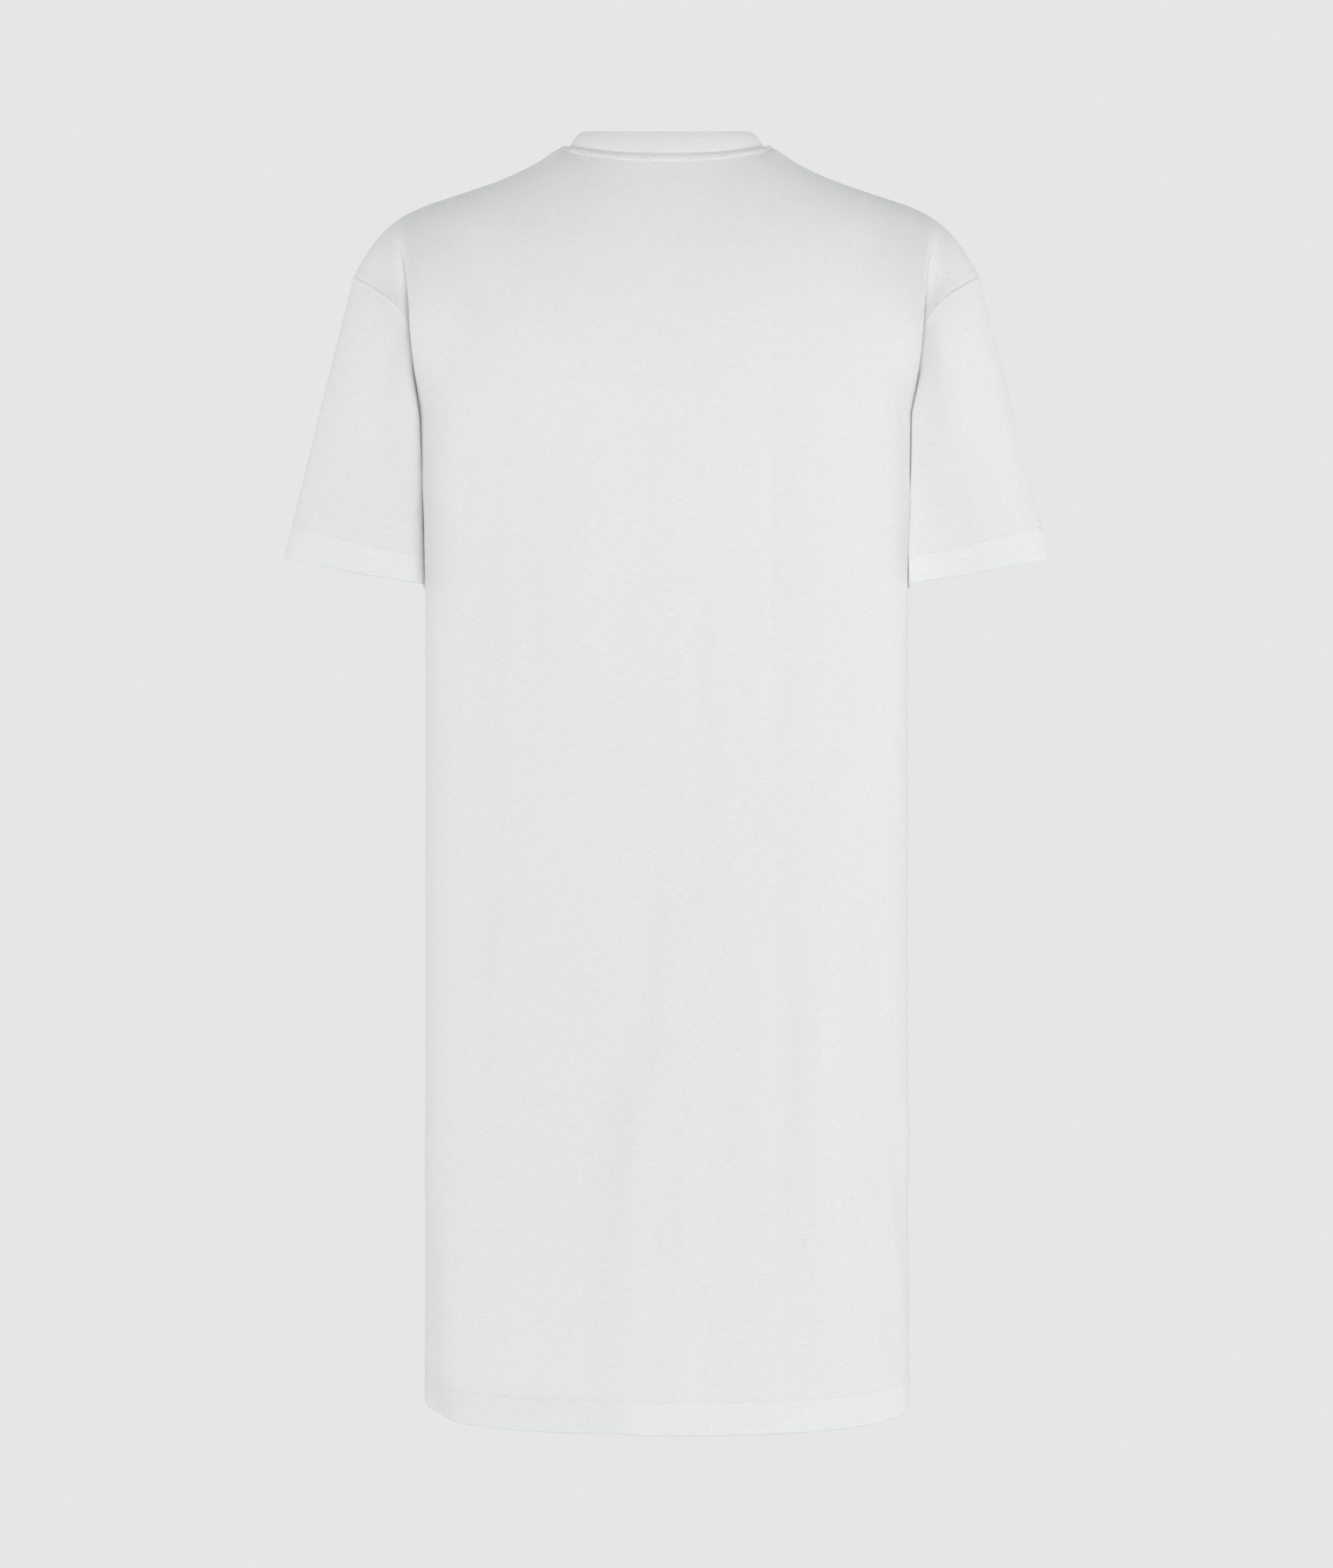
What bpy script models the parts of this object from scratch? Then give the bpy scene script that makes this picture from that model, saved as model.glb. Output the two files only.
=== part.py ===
"""A plain jersey T-shirt dress, worn and filled out, with nobody in it.

Metres, +Z up, the front faces -Y. The origin is midway between the two points where the shoulder
seams meet the neckband. The tables below are in millimetres. Each sewn piece is one closed wall of
cloth with its own object. A panel is a grid of columns that run from the shoulder seam to the hem.
"""
import math

import bmesh
import bpy
import numpy as np

MM = 0.001
BACK = 1
FRONT = -1

CLOTH = 1.2
HEM_CLOTH = 2.4
BAND_CLOTH = 2.0
SEAM_GAP = 0.3
HEM_HEIGHT = 24.0
SLEEVE_HEM_HEIGHT = 21.6
HEM_STEP = 0.8

SHOULDER_Y = -8.0
UNDERARM_Z = -207.0
HEM_Z = -947.0

NECK_HALF_WIDTH = 73.7
NECK_ROUNDNESS = 2.4
NECK_DEPTH = {BACK: 66.0, FRONT: 70.0}

# The shoulder seam from the neck out to the top of the armhole.
SHOULDER = np.array([
    # x, z
    (73.7, 0.0), (83.0, -2.0), (93.0, -9.0), (104.0, -16.0), (116.0, -21.5), (138.0, -29.5),
    (161.0, -37.5), (184.0, -46.5), (207.0, -57.5), (218.0, -68.0), (229.0, -85.0), (237.0, -98.0)])

# How far the neck seam drops from the shoulder seams to its centre, and how fast it does so.
NECK_DROP = {BACK: 14.0, FRONT: 80.0}
NECK_DROP_POWER = {BACK: 1.7, FRONT: 1.9}

# How far the cloth's outside turns from upright along the neck seam: at the sides, and how much
# more at the centre.
LEAN_SIDE = 0.25
LEAN_MORE = 0.62

# How square the cloth turns over the shoulder: 2 is an ellipse, less is steeper at the neck.
SHOULDER_ROUNDNESS = {BACK: (1.6, 2.0), FRONT: (1.6, 1.8)}

# How much lower the fullest part of each panel is at the centre than at the underarm.
CHEST_SAG = {BACK: 0.0, FRONT: 45.0}

# The cloth beside each armhole at quarter steps from the shoulder seam down to the underarm: the
# crest of the fold, the dip behind it and the seam itself.
ARMHOLE = {
    BACK: np.array([
        # crest x, y, z, dip x, y, z, seam x, y, z
        (200, 27, -68, 213, 31, -86, 222, 34, -108),
        (192, 55, -103, 192, 48, -118, 194, 55, -133),
        (188, 67, -152, 183, 51, -163, 186, 32, -174)], float),
    FRONT: np.array([
        (200, -44, -69, 213, -49, -87, 222, -50, -108),
        (192, -77, -107, 192, -70, -121, 196, -76, -134),
        (188, -88, -158, 184, -76, -167, 188, -58, -176)], float)}
CREST_AT = 0.8
DIP_AT = 0.9
PLAIN_TO = 0.6
LEAD_PLACES = (0.45, 0.5, 0.55, 0.6)

# How strongly the seam's outside turns downwards at the underarm, and how far up that reaches.
UNDERARM_TURN = 3.0
TURN_REACH = 0.5

# Level rings of the body below the armholes.
RINGS = np.array([
    # z, half width, side seam y, back y, front y, squareness
    (-207.0, 187.0, -17.0, 115.0, -126.0, 3.1),
    (-255.0, 184.3, -15.0, 117.0, -129.0, 3.0),
    (-335.0, 182.3, -12.0, 117.5, -129.0, 2.8),
    (-480.0, 182.0, -8.0, 117.0, -125.0, 2.7),
    (-650.0, 182.0, -5.0, 120.0, -125.0, 2.6),
    (-820.0, 182.4, -3.0, 125.0, -129.0, 2.6),
    (-947.0, 183.0, -2.0, 129.0, -132.0, 2.6)])

# Soft folds, as troughs pushed in from the surface. Each fades out over a share of its length.
FOLD_FADE = 0.3
FOLDS = {
    BACK: np.array([
        # x at top, x at bottom, top z, bottom z, half width, depth
        (104.0, 128.0, -150.0, -720.0, 20.0, 4.0),
        (2.0, 26.0, -500.0, -800.0, 22.0, 3.0),
        (-134.0, -152.0, -520.0, -900.0, 16.0, 4.0),
        (-78.0, -84.0, -150.0, -520.0, 14.0, 2.0)]),
    FRONT: np.array([
        (-96.0, -118.0, -330.0, -930.0, 20.0, 5.0),
        (22.0, 8.0, -420.0, -900.0, 24.0, 3.5),
        (112.0, 132.0, -360.0, -880.0, 18.0, 4.5)])}

# The cuff: its centre, half its width, half its depth, how square its corners are on the outside
# and beside the body, and how much higher its front hangs.
CUFF_CENTRE = (238.2, -38.0, -322.5)
CUFF_ACROSS = (55.4, 0.0, 11.6)
CUFF_DEPTH = 59.0
CUFF_SQUARENESS = (2.0, 3.6)
CUFF_FRONT_RISE = 5.5

# The sleeve swells outwards most at a share of its length, and stands off the body underneath.
SLEEVE_FULLNESS = {BACK: 13.0, FRONT: 11.0}
FULLEST_AT = 0.28
SIDEWAYS_SHARE = 0.25
UNDERARM_CLEAR = 0.9
CLEAR_WITHIN = 0.05

# The neckband's free edge, by its own half width, depths and heights.
BAND_HALF_WIDTH = 65.6
BAND_DEPTH = {BACK: 58.0, FRONT: 64.0}
BAND_TOP_Z = {"side": 10.4, BACK: 3.7, FRONT: -62.0}
BAND_DIP_POWER = {BACK: 1.7, FRONT: 1.9}
BAND_BULGE = 0.9
BAND_ROWS = (0.0, 0.35, 0.75, 1.0)

# The plug that cuts the neck hole: its rings above the seam, and its two end points.
PLUG_RINGS = (60.0, 4.0, 0.0, -4.0, -60.0)
PLUG_TOP_Z = 190.0
PLUG_LOW_Z = -120.0

HALF_COLUMNS = 15
ARMHOLE_ROWS = 13
SKIRT_ROWS = 13
SLEEVE_ROWS = 10
ROW_SPREAD = 1.2
NECK_STEPS = 48


def spline(knots, values, at):
    """Natural cubic spline through the rows of values, read at the places in at."""
    knots = np.asarray(knots, float)
    values = np.asarray(values, float).reshape(len(knots), -1)
    at = np.asarray(at, float)
    gap = np.diff(knots)
    slope = np.diff(values, axis=0) / gap[:, None]
    matrix = np.eye(len(knots))
    right = np.zeros_like(values)
    for i in range(1, len(knots) - 1):
        matrix[i, i - 1:i + 2] = gap[i - 1], 2.0 * (gap[i - 1] + gap[i]), gap[i]
        right[i] = 6.0 * (slope[i] - slope[i - 1])
    bend = np.linalg.solve(matrix, right)
    i = np.clip(np.searchsorted(knots, at, side="right") - 1, 0, len(gap) - 1)
    h = gap[i][..., None]
    a = (knots[i + 1] - at)[..., None] / h
    b = 1.0 - a
    return (a * values[i] + b * values[i + 1]
            + ((a ** 3 - a) * bend[i] + (b ** 3 - b) * bend[i + 1]) * h * h / 6.0)


def smooth(x):
    x = np.clip(x, 0.0, 1.0)
    return x * x * (3.0 - 2.0 * x)


def ring_at(z):
    """Half width, side y, back y, front y and squareness of the body at a height."""
    return spline(-RINGS[:, 0], RINGS[:, 1:], [-z])[0]


def ring_quarter(side, z, s):
    """Points of a body ring, from its centre (s 0) to the side seam (s 1), by length."""
    half_width, side_y, back_y, front_y, square = ring_at(z)
    depth = (back_y if side == BACK else front_y) - side_y
    turn = np.linspace(0.0, math.pi / 2.0, 240)
    x = half_width * np.sin(turn) ** (2.0 / square)
    y = side_y + depth * np.cos(turn) ** (2.0 / square)
    length = np.concatenate(([0.0], np.cumsum(np.hypot(np.diff(x), np.diff(y)))))
    s = np.abs(s) * length[-1]
    return np.interp(s, length, x), np.interp(s, length, y)


def shoulder_at(s):
    """The shoulder seam's x and z at a share of the panel's half width."""
    step = np.hypot(np.diff(SHOULDER[:, 0]), np.diff(SHOULDER[:, 1]))
    length = NECK_HALF_WIDTH + np.concatenate(([0.0], np.cumsum(step)))
    place = np.abs(s) * length[-1]
    on_seam = spline(length, SHOULDER, np.maximum(place, NECK_HALF_WIDTH))
    x = np.where(place < NECK_HALF_WIDTH, place, on_seam[..., 0])
    return x, on_seam[..., 1]


def level(side, x):
    """The height where the panel has reached its full depth."""
    return UNDERARM_Z - CHEST_SAG[side] * np.clip(1.0 - (x / RINGS[0, 1]) ** 2, 0.0, 1.0)


def full_depth(side, x):
    """How far the panel stands from the shoulder line at its full depth."""
    half_width, side_y, back_y, front_y, square = RINGS[0, 1:]
    depth = (back_y if side == BACK else front_y) - side_y
    y = side_y + depth * np.clip(1.0 - (x / half_width) ** square, 0.0, 1.0) ** (1.0 / square)
    return y - SHOULDER_Y


def roundness(side, x):
    low, high = SHOULDER_ROUNDNESS[side]
    return low + (high - low) * smooth(x / NECK_HALF_WIDTH)


def neck_plan(side, x):
    """How far the neck seam stands from the shoulder line at x, and its height there."""
    share = np.clip(1.0 - (x / NECK_HALF_WIDTH) ** NECK_ROUNDNESS, 0.0, 1.0) ** (1.0 / NECK_ROUNDNESS)
    return share * NECK_DEPTH[side], -NECK_DROP[side] * share ** NECK_DROP_POWER[side]


def crown(side, x):
    """The height of the surface's top edge at x: the shoulder seam, or over the neck hole the
    height that the curve through the neck seam would reach."""
    on_seam = spline(SHOULDER[:, 0], SHOULDER[:, 1], np.maximum(x, NECK_HALF_WIDTH))[..., 0]
    y, z = neck_plan(side, np.minimum(x, NECK_HALF_WIDTH))
    m = roundness(side, x)
    share = (1.0 - (y / np.abs(full_depth(side, x))) ** m) ** (1.0 / m)
    low = level(side, x)
    return np.where(x < NECK_HALF_WIDTH, low + (z - low) / share, on_seam)


def over_shoulder(side, x, turn):
    """A point of the panel at x, where turn goes from 0 at the shoulder to a right angle below."""
    power = 2.0 / roundness(side, x)
    low = level(side, x)
    y = SHOULDER_Y + full_depth(side, x) * np.clip(np.sin(turn), 0.0, 1.0) ** power
    z = low + (crown(side, x) - low) * np.clip(np.cos(turn), 0.0, 1.0) ** power
    return np.stack((x, y, z), axis=-1)


def ring_points(side, z, s):
    x, y = ring_quarter(side, z, s)
    sag = CHEST_SAG[side] * (1.0 - (np.minimum(x, RINGS[0, 1]) / RINGS[0, 1]) ** 2)
    fade = smooth((z - HEM_Z) / (UNDERARM_Z - HEM_Z)) ** 2
    return np.stack((x, y, z - sag * fade), axis=-1)


def armhole_rows(side, v):
    """Crest, dip and seam points beside the armhole for rows v from 0, the shoulder, to 1."""
    marks = np.array([CREST_AT, DIP_AT, 1.0])
    x, z = shoulder_at(marks)
    top = np.stack((x, np.full(3, SHOULDER_Y), z), axis=-1).ravel()
    lower_z = UNDERARM_Z - 0.25 * (SHOULDER[-1, 1] - UNDERARM_Z) * 2.0
    rows = {}
    for half in (BACK, FRONT):
        rows[half] = np.vstack((ARMHOLE[half],
                                ring_points(half, UNDERARM_Z, marks).ravel(),
                                ring_points(half, lower_z, marks).ravel()))
        rows[half][-1, 6:] = ARMHOLE[-half][-1, 6:]
    table = np.vstack((rows[-side][::-1], top, rows[side]))
    return spline(np.arange(-5, 6) / 4.0, table, v).reshape(len(v), 3, 3)


def upper_form(side, s, v):
    """Half of a panel above the underarm, as a grid of rows v by columns s, both 0 to 1."""
    v = np.atleast_1d(v)
    grid = np.zeros((len(v), len(s), 3))
    lead = np.array(LEAD_PLACES)
    beside = armhole_rows(side, v)
    top_x = shoulder_at(s)[0]
    low_x = ring_quarter(side, UNDERARM_Z, s)[0]
    lead_top = shoulder_at(lead)[0]
    lead_low = ring_quarter(side, UNDERARM_Z, lead)[0]
    plain = s <= PLAIN_TO
    knots = np.concatenate((lead, [CREST_AT, DIP_AT, 1.0]))
    for i, row in enumerate(v):
        ease = smooth(row)
        turn = row * math.pi / 2.0
        x = top_x + (low_x - top_x) * ease
        grid[i, plain] = over_shoulder(side, x[plain], turn)
        lead_points = over_shoulder(side, lead_top + (lead_low - lead_top) * ease, turn)
        across = np.vstack((lead_points, beside[i]))
        grid[i, ~plain] = spline(knots, across, s[~plain])
    return grid


def skirt_form(side, s, z_rows):
    return np.stack([ring_points(side, z, s) for z in z_rows])


def fold_depth(side, x, z):
    """How far the folds push the surface in at a place."""
    depth = np.zeros_like(x)
    for x_top, x_bottom, top, bottom, half_width, deep in FOLDS[side]:
        along = (top - z) / (top - bottom)
        middle = x_top + (x_bottom - x_top) * np.clip(along, 0.0, 1.0)
        fade = smooth(along / FOLD_FADE) * smooth((1.0 - along) / FOLD_FADE)
        depth += deep * fade * np.exp(-((x - middle) / half_width) ** 2)
    return depth


def columns(half_count):
    """Column places from one side seam (-1) to the other (1)."""
    half = np.linspace(0.0, 1.0, half_count + 1)
    return np.concatenate((-half[:0:-1], half))


def panel(side):
    """Outer points of a whole panel: rows from the shoulder seam to the hem, columns across."""
    across = columns(HALF_COLUMNS)
    v = np.linspace(0.0, 1.0, ARMHOLE_ROWS + 1)
    last = HEM_Z + HEM_HEIGHT
    z_rows = UNDERARM_Z + (last - UNDERARM_Z) * np.linspace(0.0, 1.0, SKIRT_ROWS + 1)[1:] ** ROW_SPREAD
    z_rows = np.concatenate((z_rows, [last - HEM_STEP, HEM_Z]))
    half = np.abs(across)
    grid = np.concatenate((upper_form(side, half, v), skirt_form(side, half, z_rows)))
    grid[..., 0] *= np.sign(across)
    grid[..., 1] -= side * fold_depth(side, grid[..., 0], grid[..., 2])
    return grid


def grid_normals(grid, outward):
    """Unit normals of a grid, turned the way outward says: 1 or -1."""
    down = np.gradient(grid, axis=0)
    along = np.gradient(grid, axis=1)
    normal = np.cross(along, down) * outward
    return normal / np.linalg.norm(normal, axis=-1, keepdims=True)


def wall_normals(ring, outward):
    """Unit normals of a tube, whose columns close on themselves."""
    wide = np.concatenate((ring[:, -1:], ring, ring[:, :1]), axis=1)
    return grid_normals(wide, outward)[:, 1:-1]


def unit(vectors):
    return vectors / np.linalg.norm(vectors, axis=-1, keepdims=True)


def trim_panel(grid):
    """Moves the shoulder and side seams of a panel back along the cloth by half a seam gap."""
    half = SEAM_GAP / 2.0
    grid[0] += half * unit(grid[1] - grid[0])
    for column, beside in ((0, 1), (-1, -2)):
        rows = slice(ARMHOLE_ROWS, None)
        grid[rows, column] += half * unit(grid[rows, beside] - grid[rows, column])


def solid_mesh(name, points, faces):
    """A closed mesh with its faces turned outwards. points are in millimetres."""
    mesh = bpy.data.meshes.new(name)
    mesh.from_pydata([tuple(p) for p in np.asarray(points) * MM], [], faces)
    solid = bmesh.new()
    solid.from_mesh(mesh)
    bmesh.ops.recalc_face_normals(solid, faces=solid.faces)
    if solid.calc_volume(signed=True) < 0.0:
        bmesh.ops.reverse_faces(solid, faces=solid.faces)
    solid.to_mesh(mesh)
    solid.free()
    return mesh


def wall(name, outer, inner, material, closed):
    """A closed wall of cloth between two grids of points, as one object."""
    rows, cols = outer.shape[:2]
    points = np.concatenate((outer.reshape(-1, 3), inner.reshape(-1, 3)))
    steps = cols if closed else cols - 1
    back_of = rows * cols

    def index(row, col):
        return row * cols + col % cols

    faces = []
    for row in range(rows - 1):
        for col in range(steps):
            quad = (index(row, col), index(row, col + 1), index(row + 1, col + 1), index(row + 1, col))
            faces.append(quad)
            faces.append(tuple(back_of + i for i in reversed(quad)))
    for col in range(steps):
        for row in (0, rows - 1):
            a, b = index(row, col), index(row, col + 1)
            faces.append((a, b, back_of + b, back_of + a))
    if not closed:
        for row in range(rows - 1):
            for col in (0, cols - 1):
                a, b = index(row, col), index(row + 1, col)
                faces.append((a, b, back_of + b, back_of + a))
    mesh = solid_mesh(name, points, faces)
    mesh.shade_smooth()
    mesh.set_sharp_from_angle(angle=math.radians(50.0))
    mesh.materials.append(material)
    thing = bpy.data.objects.new(name, mesh)
    bpy.context.collection.objects.link(thing)
    return thing


def neck_edge(side, psi, grow=0.0):
    """A point of the neck seam, psi from 0 at the centre to a right angle at the shoulder."""
    power = 2.0 / NECK_ROUNDNESS
    x = NECK_HALF_WIDTH * math.sin(psi) ** power
    y, z = neck_plan(side, x)
    slope = NECK_DROP[side] * NECK_DROP_POWER[side] * max(0.0, math.cos(psi)) ** power / NECK_DEPTH[side]
    return (x + grow * math.sin(psi), SHOULDER_Y + side * (y + grow * math.cos(psi)),
            z - grow * slope * math.cos(psi))


def neck_loop(free_edge, grow=0.0):
    """Points round the neck seam, or round the neckband's free edge, from the centre back."""
    points = []
    for i in range(NECK_STEPS):
        angle = 2.0 * math.pi * i / NECK_STEPS
        side = BACK if math.cos(angle) > 0.0 else FRONT
        psi = math.asin(min(1.0, abs(math.sin(angle))))
        if free_edge:
            x = BAND_HALF_WIDTH * math.sin(psi) ** (2.0 / NECK_ROUNDNESS)
            out = max(0.0, math.cos(psi)) ** (2.0 / NECK_ROUNDNESS)
            rise = BAND_TOP_Z["side"] - BAND_TOP_Z[side]
            z = BAND_TOP_Z["side"] - rise * out ** BAND_DIP_POWER[side]
            point = (x, SHOULDER_Y + side * out * BAND_DEPTH[side], z)
        else:
            point = neck_edge(side, psi, grow)
        points.append((math.copysign(point[0], math.sin(angle)), point[1], point[2]))
    return np.array(points)


def neck_lean():
    """Directions square to the cloth along the neck seam."""
    angle = 2.0 * math.pi * np.arange(NECK_STEPS) / NECK_STEPS
    flat = LEAN_SIDE + LEAN_MORE * np.abs(np.cos(angle))
    lean = np.stack((flat * np.sin(angle), flat * np.cos(angle), np.sqrt(1.0 - flat ** 2)), axis=-1)
    return unit(lean)


def neck_cutter():
    """A plug through the neck hole whose side is square to the cloth."""
    edge = neck_loop(False, SEAM_GAP / 2.0)
    lean = neck_lean()
    rings = [edge + reach * lean for reach in PLUG_RINGS]
    count = len(edge)
    ends = [(0.0, SHOULDER_Y, PLUG_TOP_Z), (0.0, SHOULDER_Y, PLUG_LOW_Z)]
    points = np.concatenate(rings + [ends])
    above = len(points) - 2
    below = len(points) - 1
    last = (len(rings) - 1) * count
    faces = []
    for i in range(count):
        j = (i + 1) % count
        for base in range(0, last, count):
            faces.append((base + i, base + j, base + count + j))
            faces.append((base + i, base + count + j, base + count + i))
        faces.append((j, i, above))
        faces.append((last + i, last + j, below))
    cutter = bpy.data.objects.new("neck_cutter", solid_mesh("neck_cutter", points, faces))
    cutter.hide_render = True
    cutter.display_type = "WIRE"
    bpy.context.collection.objects.link(cutter)
    return cutter


def cut_neck(thing, cutter):
    cut = thing.modifiers.new("neck hole", "BOOLEAN")
    cut.operation = "DIFFERENCE"
    cut.object = cutter
    cut.solver = "EXACT"


def cuff_loop(turn):
    """Points round the left cuff, from its outer end (turn 0) over the back."""
    outside, inside = CUFF_SQUARENESS
    power = np.where(np.cos(turn) > 0.0, 2.0 / outside, 2.0 / inside)[:, None]
    along = np.cos(turn)[:, None]
    aside = np.sin(turn)[:, None]
    rise = CUFF_FRONT_RISE * np.clip(-aside, 0.0, 1.0) * np.array((0.0, 0.0, 1.0))
    return (np.array(CUFF_CENTRE) + rise
            + np.sign(along) * np.abs(along) ** power * np.array(CUFF_ACROSS)
            + np.sign(aside) * np.abs(aside) ** power * np.array((0.0, CUFF_DEPTH, 0.0)))


def sleeve(side_sign):
    """Outer points of a sleeve: rows from the armhole to the cuff, columns round the arm."""
    v = np.linspace(0.0, 1.0, ARMHOLE_ROWS + 1)
    back_half = armhole_rows(BACK, v)[:, 2]
    front_half = armhole_rows(FRONT, v)[:, 2]
    armhole = np.concatenate((back_half, front_half[-2:0:-1]))
    turn = math.pi * np.concatenate((v, 2.0 - v[-2:0:-1]))
    cuff = cuff_loop(turn)
    length = abs(CUFF_CENTRE[2] - armhole[:, 2].mean())
    hem = 1.0 - SLEEVE_HEM_HEIGHT / length
    rows = np.linspace(0.0, 1.0, SLEEVE_ROWS + 1)[:-1] ** ROW_SPREAD * hem
    rows = np.concatenate((rows, [hem - HEM_STEP / length, hem, 1.0]))
    fullness = np.where(np.sin(turn) > 0.0, SLEEVE_FULLNESS[BACK], SLEEVE_FULLNESS[FRONT])
    fullness = fullness * np.abs(np.sin(turn)) ** 1.5
    grid = []
    for t in rows:
        ring = armhole + (cuff - armhole) * t
        swell = fullness * (t / FULLEST_AT) * math.exp(1.0 - t / FULLEST_AT) * (1.0 - t)
        out = np.sign(np.sin(turn)) * swell
        clear = (UNDERARM_CLEAR * (1.0 - math.exp(-t / CLEAR_WITHIN))
                 * np.clip(-np.cos(turn), 0.0, 1.0))
        ring = ring + np.stack((SIDEWAYS_SHARE * swell + clear, out, np.zeros(len(turn))), axis=-1)
        grid.append(ring)
    grid = np.stack(grid)
    grid[..., 0] *= side_sign
    return grid


def band():
    """Outer points of the neckband: rows from the seam up to the free edge."""
    low = neck_loop(False, -SEAM_GAP / 2.0)
    high = neck_loop(True)
    lean = neck_lean()
    rows = []
    for t in BAND_ROWS:
        rows.append(low + (high - low) * t + BAND_BULGE * math.sin(math.pi * t) * lean)
    return np.stack(rows)


def cloth(name, colour, roughness):
    material = bpy.data.materials.new(name)
    material.use_nodes = True
    shader = material.node_tree.nodes["Principled BSDF"]
    shader.inputs["Base Color"].default_value = (*colour, 1.0)
    shader.inputs["Roughness"].default_value = roughness
    shader.inputs["Metallic"].default_value = 0.0
    return material


def share(first, second):
    """Gives two edges of normals that meet at a seam the same directions."""
    both = unit(first + second)
    first[...] = both
    second[...] = both


def round_loop(back_edge, front_edge):
    """Joins the back and front halves of an armhole into one loop from the shoulder seam."""
    loop = np.concatenate((back_edge, front_edge[-2:0:-1]))
    for i, j in ((0, 0), (len(back_edge) - 1, -1)):
        loop[i] = 0.5 * (back_edge[j] + front_edge[j])
    return loop


def halves(loop):
    """The back and front halves of an armhole loop, each from the shoulder seam down."""
    k = len(loop) // 2
    return {BACK: loop[:k + 1], FRONT: np.concatenate((loop[:1], loop[:k - 1:-1]))}


def armhole_frame(body_normal, sleeve_normal, edge, into_body, into_sleeve):
    """Along an armhole seam: the shared normal, and the direction from the sleeve to the body.

    The two pieces fold back to back at the underarm, where the seam's outside faces down."""
    k = len(edge) // 2
    down = 1.0 - np.abs(np.arange(len(edge)) - k) / k
    bias = np.zeros_like(edge)
    bias[:, 2] = -UNDERARM_TURN * smooth((down - TURN_REACH) / (1.0 - TURN_REACH))
    normal = unit(unit(body_normal + sleeve_normal) + bias)
    along = np.roll(edge, -1, axis=0) - np.roll(edge, 1, axis=0)
    apart = unit(np.cross(along, normal))
    turn = np.sum(apart * (unit(into_body) - unit(into_sleeve)), axis=-1, keepdims=True)
    return normal, apart * np.sign(turn)


def thickness(rows, cloth_rows):
    """Cloth thickness of each row, double on the last rows, which are the hem."""
    thick = np.full(rows, CLOTH)
    thick[-cloth_rows:] = HEM_CLOTH
    return thick[:, None, None]


def main():
    for thing in list(bpy.data.objects):
        bpy.data.objects.remove(thing, do_unlink=True)

    panels = {side: panel(side) for side in (BACK, FRONT)}
    normals = {side: grid_normals(panels[side], side) for side in (BACK, FRONT)}
    sleeves = {1: sleeve(1.0), -1: sleeve(-1.0)}
    sleeve_normals = {sign: wall_normals(sleeves[sign], -sign) for sign in (1, -1)}

    k = ARMHOLE_ROWS
    seam = np.abs(panels[BACK][0, :, 0]) >= NECK_HALF_WIDTH - 0.1
    both = unit(normals[BACK][0, seam] + normals[FRONT][0, seam])
    inner = {}
    for side in (BACK, FRONT):
        normals[side][0, seam] = both
    for column in (0, -1):
        share(normals[BACK][k:, column], normals[FRONT][k:, column])
    for side in (BACK, FRONT):
        inner[side] = panels[side] - thickness(len(panels[side]), 2) * normals[side]

    sleeve_inner = {}
    for sign, column, beside in ((1, -1, -2), (-1, 0, 1)):
        edge = sleeves[sign][0]
        body_edge = {side: panels[side][:k + 1, column] for side in panels}
        body_next = {side: panels[side][:k + 1, beside] for side in panels}
        normal, apart = armhole_frame(
            round_loop(normals[BACK][:k + 1, column], normals[FRONT][:k + 1, column]),
            sleeve_normals[sign][0], edge,
            round_loop(*[body_next[side] - body_edge[side] for side in (BACK, FRONT)]),
            sleeves[sign][1] - edge)
        sleeve_normals[sign][0] = normal
        sleeve_inner[sign] = (sleeves[sign]
                              - thickness(len(sleeves[sign]), 2) * sleeve_normals[sign])
        shift = 0.5 * SEAM_GAP * apart
        for side in (BACK, FRONT):
            moved = halves(edge + shift)[side]
            panels[side][:k + 1, column] = moved
            inner[side][:k + 1, column] = moved - CLOTH * halves(normal)[side]
        sleeves[sign][0] -= shift
        sleeve_inner[sign][0] -= shift

    white = cloth("white jersey", (0.80, 0.81, 0.82), 0.85)
    pieces = {}
    for side, name in ((BACK, "back"), (FRONT, "front")):
        for grid in (panels[side], inner[side]):
            trim_panel(grid)
        pieces[name] = wall(name, panels[side], inner[side], white, False)
    for sign, name in ((1, "sleeve_left"), (-1, "sleeve_right")):
        pieces[name] = wall(name, sleeves[sign], sleeve_inner[sign], white, True)
    outer = band()
    band_normals = wall_normals(outer, -1)
    band_normals[0] = neck_lean()
    wall("neckband", outer, outer - BAND_CLOTH * band_normals, white, True)

    cutter = neck_cutter()
    cut_neck(pieces["back"], cutter)
    cut_neck(pieces["front"], cutter)


main()
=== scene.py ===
"""A plain white jersey T-shirt dress, worn and filled out with nobody in it, in a pale studio.

Metres, +Z up, the front faces -Y and the camera sees the back. The form's tables and functions are
in millimetres. Each sewn piece is a closed thin shell on the form of its solid.
"""
import math

import bmesh
import bpy
import numpy as np
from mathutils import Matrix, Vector
from mathutils.bvhtree import BVHTree


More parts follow.
